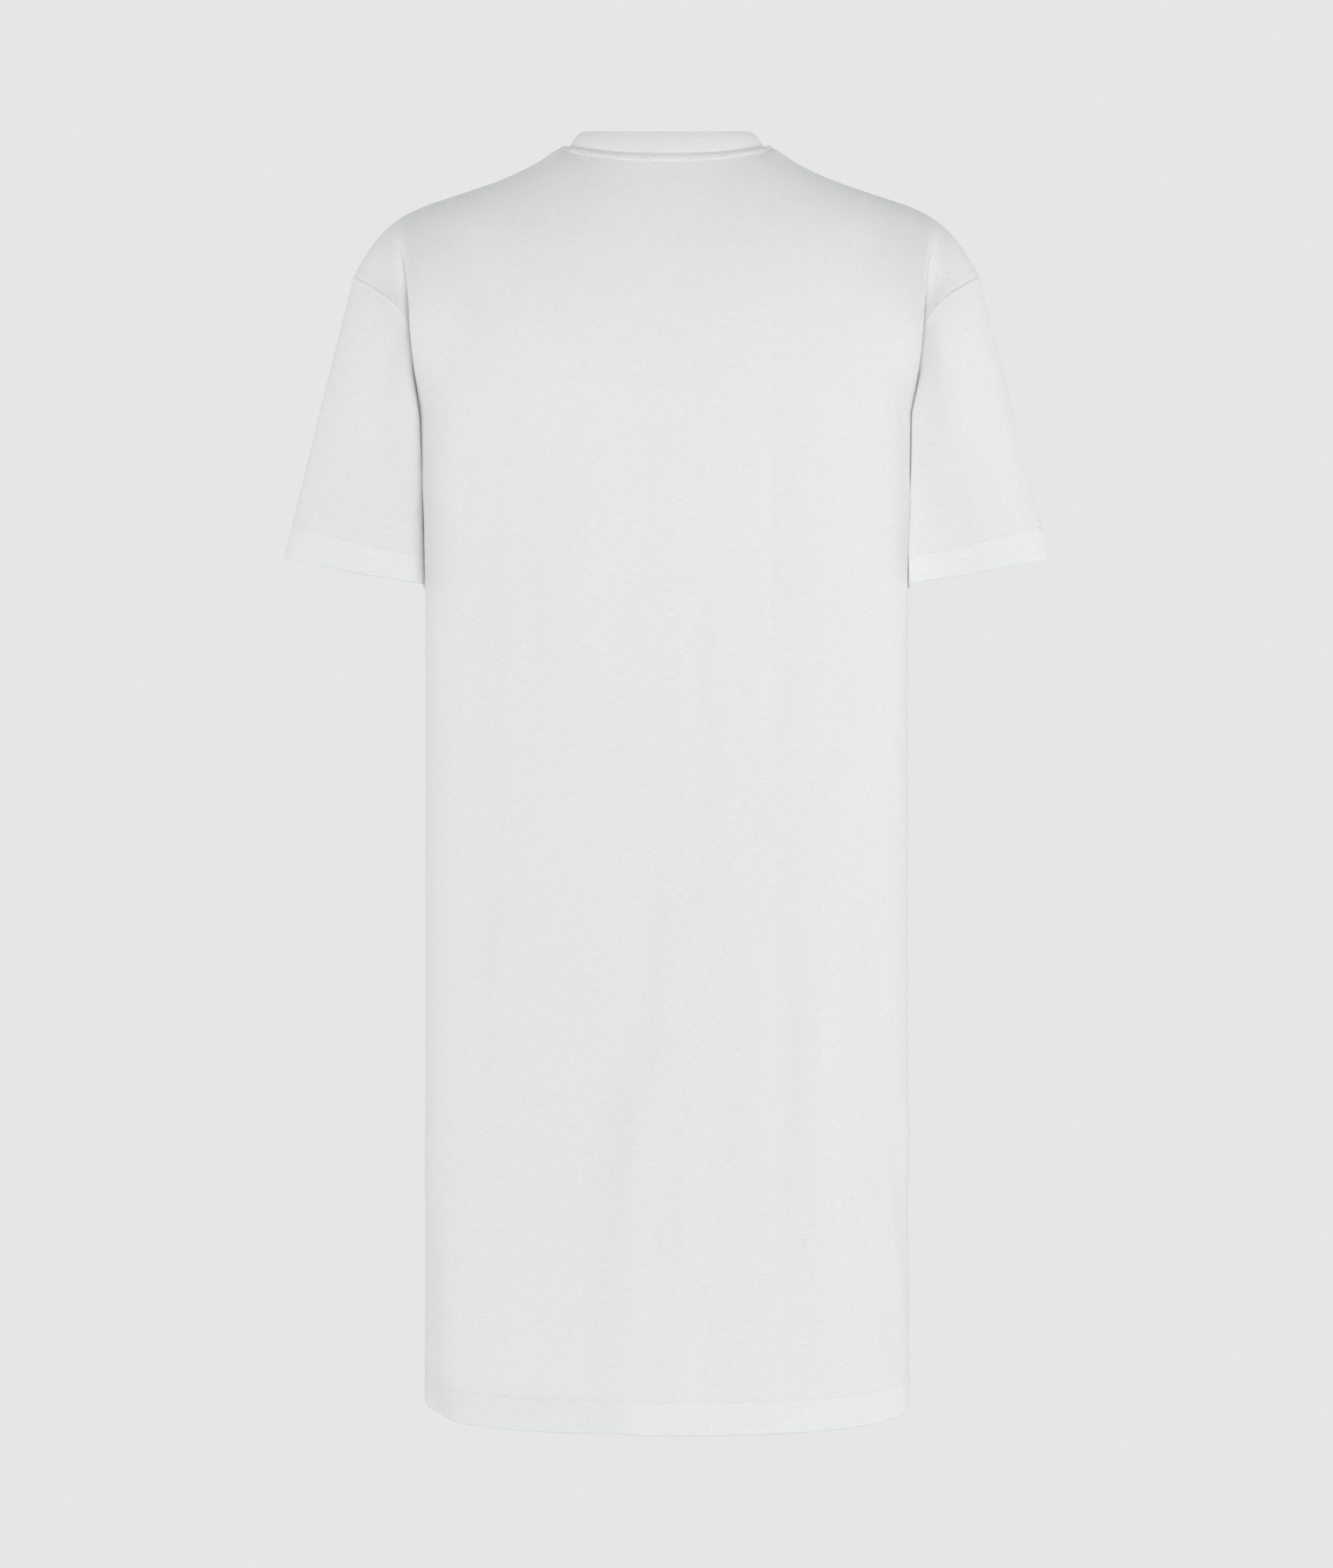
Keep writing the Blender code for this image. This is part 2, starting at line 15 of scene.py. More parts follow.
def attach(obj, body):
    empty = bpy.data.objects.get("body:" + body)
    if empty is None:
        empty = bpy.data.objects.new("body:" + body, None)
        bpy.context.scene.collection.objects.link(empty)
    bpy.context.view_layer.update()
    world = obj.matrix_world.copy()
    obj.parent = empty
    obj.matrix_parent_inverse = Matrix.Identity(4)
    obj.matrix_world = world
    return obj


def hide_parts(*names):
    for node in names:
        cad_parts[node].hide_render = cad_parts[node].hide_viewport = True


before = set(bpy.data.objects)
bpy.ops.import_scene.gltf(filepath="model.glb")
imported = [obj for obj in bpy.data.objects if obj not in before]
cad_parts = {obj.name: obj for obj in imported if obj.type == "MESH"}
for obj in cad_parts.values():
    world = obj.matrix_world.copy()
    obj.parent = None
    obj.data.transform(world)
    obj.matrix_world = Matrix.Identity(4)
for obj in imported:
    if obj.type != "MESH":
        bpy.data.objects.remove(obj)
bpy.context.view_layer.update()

MM = 0.001
CIRCLE = 2.0 * math.pi
QUARTER = 0.5 * math.pi
BACK = 1
FRONT = -1
SIDES = (BACK, FRONT)

CLOTH = 1.2
HEM_CLOTH = 2.4
BAND_CLOTH = 2.0
SEAM_GAP = 0.3
HEM_HEIGHT = 24.0
SLEEVE_HEM_HEIGHT = 21.6

SHOULDER_Y = -8.0
UNDERARM_Z = -207.0
HEM_Z = -947.0

NECK_HALF_WIDTH = 73.7
NECK_ROUNDNESS = 2.4
NECK_DEPTH = {BACK: 66.0, FRONT: 70.0}

# The shoulder seam from the neck out to the top of the armhole.
SHOULDER = np.array([
    # x, z
    (73.7, 0), (83, -2), (93, -9), (104, -16), (116, -21.5), (138, -29.5),
    (161, -37.5), (184, -46.5), (207, -57.5), (218, -68), (229, -85), (237, -98)])

NECK_DROP = {BACK: 14.0, FRONT: 80.0}
NECK_DROP_POWER = {BACK: 1.7, FRONT: 1.9}
LEAN_SIDE = 0.25
LEAN_MORE = 0.62
SHOULDER_ROUNDNESS = {BACK: (1.6, 2.0), FRONT: (1.6, 1.8)}
CHEST_SAG = {BACK: 0.0, FRONT: 45.0}

# The cloth beside each armhole at quarter steps from the shoulder seam down to the underarm.
ARMHOLE = {
    BACK: np.array([
        # crest x, y, z, dip x, y, z, seam x, y, z
        (200, 27, -68, 213, 31, -86, 222, 34, -108),
        (192, 55, -103, 192, 48, -118, 194, 55, -133),
        (188, 67, -152, 183, 51, -163, 186, 32, -174)], float),
    FRONT: np.array([
        (200, -44, -69, 213, -49, -87, 222, -50, -108),
        (192, -77, -107, 192, -70, -121, 196, -76, -134),
        (188, -88, -158, 184, -76, -167, 188, -58, -176)], float)}
CREST_AT = 0.8
DIP_AT = 0.9
PLAIN_TO = 0.6
LEAD_PLACES = (0.45, 0.5, 0.55, 0.6)
UNDERARM_TURN = 3.0
TURN_REACH = 0.5

# Level rings of the body below the armholes.
RINGS = np.array([
    # z, half width, side seam y, back y, front y, squareness
    (-207, 187, -17, 115, -126, 3.1),
    (-255, 184.3, -15, 117, -129, 3),
    (-335, 182.3, -12, 117.5, -129, 2.8),
    (-480, 182, -8, 117, -125, 2.7),
    (-650, 182, -5, 120, -125, 2.6),
    (-820, 182.4, -3, 125, -129, 2.6),
    (-947, 183, -2, 129, -132, 2.6)])

CUFF_CENTRE = (238.2, -38.0, -322.5)
CUFF_ACROSS = (55.4, 0.0, 11.6)
CUFF_DEPTH = 59.0
CUFF_SQUARENESS = (2.0, 6.0)
CUFF_FRONT_RISE = 5.5
SLEEVE_FULLNESS = {BACK: 13.0, FRONT: 11.0}
FULLNESS_POWER = 1.5
FULLEST_AT = 0.28
SIDEWAYS_SHARE = 0.25
UNDERARM_CLEAR = 0.9
CLEAR_WITHIN = 0.05

# How the sleeves hang: the left one's inner side falls forward, and the inner side of each leans on
# the body. A pair says where this starts and how far it takes to reach its full strength, round the
# arm from -1 on its outer side to 1 on its inner side, or down it from 0 to 1 at the cuff. Round the
# arm the fall ends at FALL_ROUND_END, over the second number.
SLEEVE_FALL = {1: 17.0, -1: 0.0}
FALL_ROUND = (0.3, 0.42)
FALL_ROUND_END = (0.99, 0.2)
FALL_DOWN = (0.02, 0.25)
LEAN_ROUND = (0.1, 0.5)
LEAN_DOWN = 0.05
LEAN_GAP = 0.2
LEAN_FROM_Z = -118.0
LEAN_FADE = 40.0
BESIDE_BODY_X = 325.0
LEAN_REACH = {BACK: 14.0, FRONT: 7.0}

BAND_HALF_WIDTH = 65.6
BAND_DEPTH = {BACK: 58.0, FRONT: 64.0}
BAND_TOP_Z = {"side": 10.4, BACK: 3.7, FRONT: -62.0}
BAND_DIP_POWER = {BACK: 1.7, FRONT: 1.9}
BAND_BULGE = 0.9

PLUG_RINGS = (60.0, 4.0, 0.0, -4.0, -60.0)
PLUG_TOP_Z = 190.0
PLUG_LOW_Z = -120.0

# The share of a crease's length over which it starts and ends, and the place of its lip in half
# widths.
CREASE_FADE = 0.3
LIP_AT = 1.9

# Creases of the panels. Each runs from its top to its bottom and bows sideways by bow. A trough has
# a depth above 0 and a ridge one below 0. lip is the share of the depth that rises beside it, on
# the +X side, or on the -X side below 0.
CREASES = {
    BACK: np.array([
        # x top, z top, x bottom, z bottom, half width, depth, bow, lip
        (110, -150, 124, -760, 25, 6.4, 0, 0),
        (2, -500, 26, -800, 22, 4, 0, 0),
        (-134, -520, -152, -900, 16, 5, 0, 0),
        (-78, -150, -84, -520, 14, 2, 0, 0),
        (97, -90, 101, -500, 22, 3.4, 3, -0.9),
        (136, -430, 142, -770, 14, 4.4, 3, -0.9),
        (146, -190, 142, -420, 8, 1.4, 3, -0.7),
        (-76, -165, -80, -515, 3, 0.5, 1.5, 0),
        (-22, -320, -30, -570, 9, 1.2, 2, -0.7),
        (8, -530, 4, -720, 7, 1.3, 2, -0.4),
        (36, -640, 42, -980, 20, 5, -4, -0.9),
        (-20, -650, -24, -900, 15, -2, 3, 0),
        (-80, -540, -82, -880, 13, 2.2, -3, -0.7),
        (-134, -600, -138, -940, 12, 2.2, 4, -0.6),
        (-150, -745, -178, -935, 6, 3, 3, 0.6),
        (-160, -690, -180, -840, 5.5, 2.4, -3, -0.6),
        (-146, -812, -172, -948, 5, 1.3, 2, 0.5),
        (176, -770, 177, -1000, 12, 2, 0, 0),
        (158, -760, 150, -1040, 14, -3.5, 0, 0),
        (174, -230, 118, -330, 10, 1.8, -8, 0.6),
        (-176, -232, -124, -345, 11, 1.5, 7, -0.6),
        (150, -60, 118, -150, 14, 1.2, 6, 0.4),
        (-148, -58, -112, -165, 15, 1, -6, -0.4),
        (30, -60, 38, -210, 18, 0.9, 5, 0.5)]),
    FRONT: np.array([
        (-96, -330, -118, -930, 20, 5, 0, 0),
        (22, -420, 8, -900, 24, 3.5, 0, 0),
        (112, -360, 132, -880, 18, 4.5, 0, 0),
        (-98, -380, -112, -800, 9, 2, 5, 0.7),
        (18, -470, 2, -820, 10, 1.8, -6, -0.8),
        (116, -400, 126, -760, 9, 2, -5, 0.7),
        (-46, -500, -52, -950, 14, 2, 4, 0.8),
        (66, -560, 74, -960, 13, 2.2, -4, -0.8),
        (176, -228, 92, -322, 10, 2.6, -10, 0.6),
        (-177, -226, -100, -310, 11, 2.3, 10, -0.6),
        (172, -246, 116, -400, 9, 1.7, -8, 0.6),
        (-170, -250, -126, -386, 9, 1.5, 8, -0.6),
        (154, -70, 92, -200, 14, 1.6, 8, 0.4),
        (-150, -74, -96, -184, 14, 1.4, -8, -0.4),
        (-74, -150, -66, -330, 14, 1.2, 4, 0.6),
        (60, -160, 50, -360, 15, 1.2, -4, -0.6),
        (-158, -720, -178, -945, 8, 1.7, 3, 0.6),
        (156, -700, 172, -945, 9, 1.8, -3, 0.6)])}

# Creases of a sleeve. The angle goes round the arm from the top, over the back.
SLEEVE_CREASES = {
    1: np.array([
        # angle top, share top, angle bottom, share bottom, half width, depth, bow, lip
        (52, 0.02, 96, 0.62, 9, 1.3, 4, 0.5),
        (96, 0.10, 128, 0.82, 8, 1.4, -5, 0.5),
        (30, 0.25, 44, 0.90, 10, 0.9, 3, -0.4),
        (132, 0.04, 150, 0.55, 7, 1.2, 2, -0.5),
        (300, 0.04, 262, 0.66, 9, 1.4, -4, 0.5),
        (236, 0.06, 218, 0.70, 8, 1.3, 4, -0.5),
        (330, 0.30, 318, 0.92, 11, 0.9, 3, 0.4)]),
    -1: np.array([
        (46, 0.03, 84, 0.56, 10, 1.1, -4, 0.5),
        (104, 0.06, 122, 0.76, 8, 1.2, 4, -0.5),
        (22, 0.32, 34, 0.88, 11, 0.8, -3, 0.4),
        (138, 0.05, 152, 0.60, 7, 1.1, -2, 0.5),
        (306, 0.05, 270, 0.58, 9, 1.3, 4, -0.5),
        (240, 0.08, 224, 0.74, 8, 1.2, -4, 0.5),
        (336, 0.26, 326, 0.86, 10, 0.8, -3, 0.4)])}

# Where the fine columns and rows stand, in mm from a seam or a hem's edge.
NEAR_SEAM = (0.0, 0.7, 1.4, 2.2, 3.2, 4.5, 6.2, 8.5)
NEAR_HEM = (29.0, 27.2, 26.0, 25.2, 24.6, 24.1, 23.6, 23.1, 22.5, 21.6, 20.0, 17.5, 15.0, 12.5, 10.0,
            7.5, 5.0, 3.2, 2.0, 1.2, 0.6, 0.16, 0.0)
NEAR_CUFF = (2.0, 1.2, 0.6, 0.16, 0.0)
NEAR_CUFF_FROM = 2.4
HALF_ACROSS = 265.0
COLUMN_STEP = 2.6
ROW_STEP = 6.2
UPPER_STEP = 4.0
UPPER_LENGTH = 225.0
EVEN_ROUNDS = 90
SLEEVE_STEP = 2.6
SLEEVE_AROUND = 58.0
NECK_STEPS = 640
BAND_ROWS = 17

# A pair says where the evening of the panels or their creases start, and how far they take to reach
# their full strength. This is in mm from a seam, or down the armhole from 0 to 1.
EVEN_FROM_NECK = (9.0, 18.0)
EVEN_FROM_SIDE = (60.0, 25.0)
EVEN_FROM_TOP = (0.02, 0.12)
EVEN_TO_UNDERARM = 0.35
CREASES_FROM_NECK = (9.0, 16.0)
CREASES_FROM_SEAM = 14.0
CREASES_FROM_TOP = 18.0

TIGHT_GAP = 0.05
SEAM_HALF_WIDTH = 1.2
ALLOWANCE_AT = 5.0
ALLOWANCE_HALF_WIDTH = 2.6

# The fold that falls from the shoulder beside each armhole.
FOLD_PLACES = (0.790, 0.800, 0.808, 0.815, 0.821, 0.827, 0.833, 0.839, 0.845, 0.852, 0.860, 0.870)
FOLD_CLEAR = 0.007
FOLD_AT = 0.836
FOLD_HALF_WIDTHS = (11.0, 2.8)
FOLD_DEPTH = 5.2
FOLD_FROM_TOP = (0.14, 0.42)
FOLD_TO_UNDERARM = 0.2
FOLD_WIDER_AT_TOP = 5.0
FOLD_NARROWS = (0.2, 0.4)
FOLD_RIDGE = 0.7
RIDGE_AT = 11.0
RIDGE_HALF_WIDTH = 6.0

STITCH_LINE = 23.6
SLEEVE_STITCH_LINE = 21.2
STITCH_DIP = 0.3
STITCH_DIP_HALF_WIDTH = 1.3

# The hem turns in on one side of the panel and flares on the other.
HEM_FLARE = (-5.5, 0.4)
HEM_FLARE_FROM = {BACK: 25.0, FRONT: -30.0}
HEM_FLARE_TURN = 30.0
HEM_FLARE_HEIGHT = 1.6 * STITCH_LINE
HEM_FLARE_FROM_SIDE = (16.0, 44.0)
# A lighter tone on the doubled hems is painted light, standing in for the shaded inside showing less
# through doubled cloth. It is left out where the panel's hem turns in, which paints that end darker
# as painted shade.
HEM_PAINTED_LIGHT = (0.0, 0.9)
SLEEVE_HEM_PAINTED_LIGHT = 1.4
HEM_PAST_STITCHES = 0.6
PAINTED_LIGHT_PAST_STITCHES = 0.5
PAINTED_LIGHT_FADE = 0.8
STRIP_WIDTH = 7.6
STRIP_HEIGHT = 1.15

# The sections of a stitch: place along it in shares of its length, and its share of the thickness.
STITCH_RINGS = ((-0.5, 0.0), (-0.44, 0.6), (-0.2, 1.0), (0.2, 1.0), (0.44, 0.6), (0.5, 0.0))

SHARP_ANGLE = 55.0
THREAD_SHARP_ANGLE = 80.0


def spline(knots, values, at):
    """Natural cubic spline through the rows of values, read at the places in at."""
    knots = np.asarray(knots, float)
    values = np.asarray(values, float).reshape(len(knots), -1)
    at = np.asarray(at, float)
    gap = np.diff(knots)
    slope = np.diff(values, axis=0) / gap[:, None]
    matrix = np.eye(len(knots))
    right = np.zeros_like(values)
    for i in range(1, len(knots) - 1):
        matrix[i, i - 1:i + 2] = gap[i - 1], 2.0 * (gap[i - 1] + gap[i]), gap[i]
        right[i] = 6.0 * (slope[i] - slope[i - 1])
    bend = np.linalg.solve(matrix, right)
    i = np.clip(np.searchsorted(knots, at, side="right") - 1, 0, len(gap) - 1)
    h = gap[i][..., None]
    a = (knots[i + 1] - at)[..., None] / h
    b = 1.0 - a
    return (a * values[i] + b * values[i + 1]
            + ((a ** 3 - a) * bend[i] + (b ** 3 - b) * bend[i + 1]) * h * h / 6.0)


def smooth(x):
    x = np.clip(x, 0.0, 1.0)
    return x * x * (3.0 - 2.0 * x)


def ramp(value, start, length):
    """Rises from 0 at start to 1, over a length."""
    return smooth((value - start) / length)


def unit(vectors):
    return vectors / np.linalg.norm(vectors, axis=-1, keepdims=True)


def hump(distance, half_width):
    return np.exp(-(distance / half_width) ** 2)


def run_along(steps):
    """How far each point of a line is from its first, from the lengths of the steps between them."""
    return np.concatenate(([0.0], np.cumsum(steps)))


def ring_at(z):
    """Half width, side y, back y, front y and squareness of the body at a height."""
    return spline(-RINGS[:, 0], RINGS[:, 1:], [-z])[0]


def ring_quarter(side, z, s):
    """Points of a body ring, from its centre (s 0) to the side seam (s 1), by length."""
    half_width, side_y, back_y, front_y, square = ring_at(z)
    depth = (back_y if side == BACK else front_y) - side_y
    turn = np.linspace(0.0, QUARTER, 720)
    x = half_width * np.sin(turn) ** (2.0 / square)
    y = side_y + depth * np.cos(turn) ** (2.0 / square)
    length = run_along(np.hypot(np.diff(x), np.diff(y)))
    s = np.abs(s) * length[-1]
    return np.interp(s, length, x), np.interp(s, length, y)


def shoulder_at(s):
    """The shoulder seam's x and z at a share of the panel's half width."""
    step = np.hypot(np.diff(SHOULDER[:, 0]), np.diff(SHOULDER[:, 1]))
    length = NECK_HALF_WIDTH + run_along(step)
    place = np.abs(s) * length[-1]
    on_seam = spline(length, SHOULDER, np.maximum(place, NECK_HALF_WIDTH))
    x = np.where(place < NECK_HALF_WIDTH, place, on_seam[..., 0])
    return x, on_seam[..., 1]


def level(side, x):
    """The height where the panel has reached its full depth."""
    return UNDERARM_Z - CHEST_SAG[side] * np.clip(1.0 - (x / RINGS[0, 1]) ** 2, 0.0, 1.0)


def full_depth(side, x):
    """How far the panel stands from the shoulder line at its full depth."""
    half_width, side_y, back_y, front_y, square = RINGS[0, 1:]
    depth = (back_y if side == BACK else front_y) - side_y
    y = side_y + depth * np.clip(1.0 - (x / half_width) ** square, 0.0, 1.0) ** (1.0 / square)
    return y - SHOULDER_Y


def roundness(side, x):
    low, high = SHOULDER_ROUNDNESS[side]
    return low + (high - low) * smooth(x / NECK_HALF_WIDTH)


def neck_plan(side, x):
    """How far the neck seam stands from the shoulder line at x, and its height there."""
    share = np.clip(1.0 - (x / NECK_HALF_WIDTH) ** NECK_ROUNDNESS, 0.0, 1.0) ** (1.0 / NECK_ROUNDNESS)
    return share * NECK_DEPTH[side], -NECK_DROP[side] * share ** NECK_DROP_POWER[side]


def crown(side, x):
    """The height of the surface's top edge at x."""
    on_seam = spline(SHOULDER[:, 0], SHOULDER[:, 1], np.maximum(x, NECK_HALF_WIDTH))[..., 0]
    y, z = neck_plan(side, np.minimum(x, NECK_HALF_WIDTH))
    m = roundness(side, x)
    share = (1.0 - (y / np.abs(full_depth(side, x))) ** m) ** (1.0 / m)
    low = level(side, x)
    return np.where(x < NECK_HALF_WIDTH, low + (z - low) / share, on_seam)


def over_shoulder(side, x, turn):
    """A point of the panel at x, where turn goes from 0 at the shoulder to a right angle below."""
    power = 2.0 / roundness(side, x)
    low = level(side, x)
    y = SHOULDER_Y + full_depth(side, x) * np.clip(np.sin(turn), 0.0, 1.0) ** power
    z = low + (crown(side, x) - low) * np.clip(np.cos(turn), 0.0, 1.0) ** power
    return np.stack((x, y, z), axis=-1)


def height_at(side, x, y):
    """The height of the panel above a place in plan, near the neck."""
    m = roundness(side, x)
    low = level(side, x)
    reach = np.clip(np.abs((y - SHOULDER_Y) / full_depth(side, x)), 0.0, 1.0)
    return low + (crown(side, x) - low) * (1.0 - reach ** m) ** (1.0 / m)


def ring_points(side, z, s):
    x, y = ring_quarter(side, z, s)
    sag = CHEST_SAG[side] * (1.0 - (np.minimum(x, RINGS[0, 1]) / RINGS[0, 1]) ** 2)
    fade = smooth((z - HEM_Z) / (UNDERARM_Z - HEM_Z)) ** 2
    return np.stack((x, y, z - sag * fade), axis=-1)


def armhole_rows(side, v):
    """Crest, dip and seam points beside the armhole for rows v from 0, the shoulder, to 1."""
    marks = np.array([CREST_AT, DIP_AT, 1.0])
    x, z = shoulder_at(marks)
    top = np.stack((x, np.full(3, SHOULDER_Y), z), axis=-1).ravel()
    lower_z = UNDERARM_Z - 0.5 * (SHOULDER[-1, 1] - UNDERARM_Z)
    rows = {}
    for half in SIDES:
        rows[half] = np.vstack((ARMHOLE[half],
                                ring_points(half, UNDERARM_Z, marks).ravel(),
                                ring_points(half, lower_z, marks).ravel()))
        rows[half][-1, 6:] = ARMHOLE[-half][-1, 6:]
    table = np.vstack((rows[-side][::-1], top, rows[side]))
    return spline(np.arange(-5, 6) / 4.0, table, v).reshape(len(v), 3, 3)


def upper_form(side, s, v):
    """Half of a panel above the underarm, as a grid of rows v by columns s, both 0 to 1."""
    grid = np.zeros((len(v), len(s), 3))
    lead = np.array(LEAD_PLACES)
    beside = armhole_rows(side, v)
    top_x = shoulder_at(s)[0]
    low_x = ring_quarter(side, UNDERARM_Z, s)[0]
    lead_top = shoulder_at(lead)[0]
    lead_low = ring_quarter(side, UNDERARM_Z, lead)[0]
    plain = s <= PLAIN_TO
    knots = np.concatenate((lead, [CREST_AT, DIP_AT, 1.0]))
    for i, row in enumerate(v):
        ease = smooth(row)
        turn = row * QUARTER
        x = top_x + (low_x - top_x) * ease
        grid[i, plain] = over_shoulder(side, x[plain], turn)
        lead_points = over_shoulder(side, lead_top + (lead_low - lead_top) * ease, turn)
        across = np.vstack((lead_points, beside[i]))
        grid[i, ~plain] = spline(knots, across, s[~plain])
    return grid


def mirrored(half):
    return np.concatenate((-half[:0:-1], half))


def crease_depth(table, across, down):
    """How far the creases of a table push the surface in, at places across and down it."""
    depth = np.zeros_like(across)
    for top_x, top_z, low_x, low_z, half_width, deep, bow, lip in table:
        run = np.array((low_x - top_x, low_z - top_z))
        length = np.hypot(*run)
        run = run / length
        along = ((across - top_x) * run[0] + (down - top_z) * run[1]) / length
        aside = (across - top_x) * -run[1] + (down - top_z) * run[0]
        aside = aside - bow * np.sin(math.pi * np.clip(along, 0.0, 1.0))
        fade = smooth(along / CREASE_FADE) * smooth((1.0 - along) / CREASE_FADE)
        shape = hump(aside, half_width)
        if lip:
            beside = math.copysign(LIP_AT * half_width, lip)
            shape = shape - abs(lip) * hump(aside - beside, half_width)
        depth += deep * fade * shape
    return depth


def fitted(wavelength, circuit):
    """The nearest wavelength that goes a whole number of times into a closed line's length."""
    return circuit / max(1.0, round(circuit / wavelength)) if circuit else wavelength


def undulation(across, down, seed, height, size, circuit=None):
    """Small random waves, longer down the cloth than across it."""
    dice = np.random.default_rng(seed)
    count = 14
    total = np.zeros_like(across)
    for _ in range(count):
        wide = fitted(size * dice.uniform(0.7, 1.8), circuit)
        tall = size * dice.uniform(2.0, 6.0)
        phase = dice.uniform(0.0, CIRCLE, 2)
        total += (np.sin(across / wide * CIRCLE + down / tall * CIRCLE + phase[0])
                  * np.cos(down / tall * math.pi + phase[1]))
    return height * total / math.sqrt(count)


def seam_profile(distance, groove, rise):
    """The groove at a seam and the soft rise over its turned-in edges."""
    return (rise * hump(distance - ALLOWANCE_AT, ALLOWANCE_HALF_WIDTH)
            - groove * hump(distance, SEAM_HALF_WIDTH))


def pucker(along, distance, seed, height, reach, circuit=None):
    """Fine gathers beside a line of stitches."""
    dice = np.random.default_rng(seed)
    count = 5
    waves = 0.0
    for _ in range(count):
        wave = fitted(dice.uniform(5.0, 11.0), circuit)
        waves = waves + np.sin(along / wave * CIRCLE + dice.uniform(0.0, 6.0))
    waves = waves / math.sqrt(count)
    strength = 0.5 + 0.5 * np.sin(along / fitted(61.0, circuit) * CIRCLE + seed)
    return height * waves * strength * hump(distance, reach)


def hem_edge(distance, thick):
    """Near a folded edge: how far the outside draws in, so that the fold is round."""
    radius = thick / 2.0
    rise = np.clip(1.0 - distance / radius, 0.0, 1.0)
    return radius * (1.0 - np.sqrt(np.clip(1.0 - rise ** 2, 0.01, 1.0)))


def grid_normals(grid, outward):
    """Unit normals of a grid, turned the way outward says: 1 or -1."""
    down = np.gradient(grid, axis=0)
    along = np.gradient(grid, axis=1)
    return unit(np.cross(along, down) * outward)


def wall_normals(ring, outward):
    """Unit normals of a tube, whose columns close on themselves."""
    wide = np.concatenate((ring[:, -1:], ring, ring[:, :1]), axis=1)
    return grid_normals(wide, outward)[:, 1:-1]


def run_down(grid):
    """How far down the cloth each point is from the first row."""
    step = np.linalg.norm(np.diff(grid, axis=0), axis=-1)
    return np.concatenate((np.zeros((1, grid.shape[1])), np.cumsum(step, axis=0)))


def neck_edge(side, psi, grow=0.0):
    """A point of the neck seam, psi from 0 at the centre to a right angle at the shoulder."""
    power = 2.0 / NECK_ROUNDNESS
    x = NECK_HALF_WIDTH * math.sin(psi) ** power
    y, z = neck_plan(side, x)
    slope = NECK_DROP[side] * NECK_DROP_POWER[side] * max(0.0, math.cos(psi)) ** power
    slope = slope / NECK_DEPTH[side]
    return (x + grow * math.sin(psi), SHOULDER_Y + side * (y + grow * math.cos(psi)),
            z - grow * slope * math.cos(psi))


def neck_angles():
    return CIRCLE * np.arange(NECK_STEPS) / NECK_STEPS


def closed_round(angles, radius):
    """The distance round a tube at its columns, with one more at the full circle."""
    return np.concatenate((angles, [CIRCLE])) * radius


def neck_place(angle):
    """The side of the neck, and the angle from that side's centre, for an angle round it."""
    side = BACK if math.cos(angle) > 0.0 else FRONT
    return side, math.asin(min(1.0, abs(math.sin(angle))))


def neck_loop(free_edge, grow=0.0):
    """Points round the neck seam, or round the neckband's free edge, from the centre back."""
    points = []
    for angle in neck_angles():
        side, psi = neck_place(angle)
        if free_edge:
            x = BAND_HALF_WIDTH * math.sin(psi) ** (2.0 / NECK_ROUNDNESS)
            out = max(0.0, math.cos(psi)) ** (2.0 / NECK_ROUNDNESS)
            rise = BAND_TOP_Z["side"] - BAND_TOP_Z[side]
            z = BAND_TOP_Z["side"] - rise * out ** BAND_DIP_POWER[side]
            point = (x, SHOULDER_Y + side * out * BAND_DEPTH[side], z)
        else:
            point = neck_edge(side, psi, grow)
        points.append((math.copysign(point[0], math.sin(angle)), point[1], point[2]))
    return np.array(points)


def neck_lean():
    """Directions square to the cloth along the neck seam."""
    angle = neck_angles()
    flat = LEAN_SIDE + LEAN_MORE * np.abs(np.cos(angle))
    lean = np.stack((flat * np.sin(angle), flat * np.cos(angle), np.sqrt(1.0 - flat ** 2)), axis=-1)
    return unit(lean)


def link(name, mesh):
    thing = bpy.data.objects.new(name, mesh)
    bpy.context.scene.collection.objects.link(thing)
    return thing


def new_mesh(name, points, faces):
    """A mesh in metres from points in millimetres."""
    mesh = bpy.data.meshes.new(name)
    mesh.from_pydata((points * MM).tolist(), [], faces)
    return mesh


def shade(mesh, angle):
    mesh.shade_smooth()
    mesh.set_sharp_from_angle(angle=math.radians(angle))


def finish_mesh(mesh, angle=SHARP_ANGLE):
    """Turns the faces of a closed mesh outwards and shades it smooth."""
    solid = bmesh.new()
    solid.from_mesh(mesh)
    bmesh.ops.recalc_face_normals(solid, faces=solid.faces)
    if solid.calc_volume(signed=True) < 0.0:
        bmesh.ops.reverse_faces(solid, faces=solid.faces)
    solid.to_mesh(mesh)
    solid.free()
    shade(mesh, angle)


def quad_corners(rows, steps):
    """The rows and the columns of the four corners of each square of a grid."""
    r, c = np.meshgrid(np.arange(rows - 1), np.arange(steps), indexing="ij")
    return (np.stack((r, r, r + 1, r + 1), axis=-1).reshape(-1, 4),
            np.stack((c, c + 1, c + 1, c), axis=-1).reshape(-1, 4))


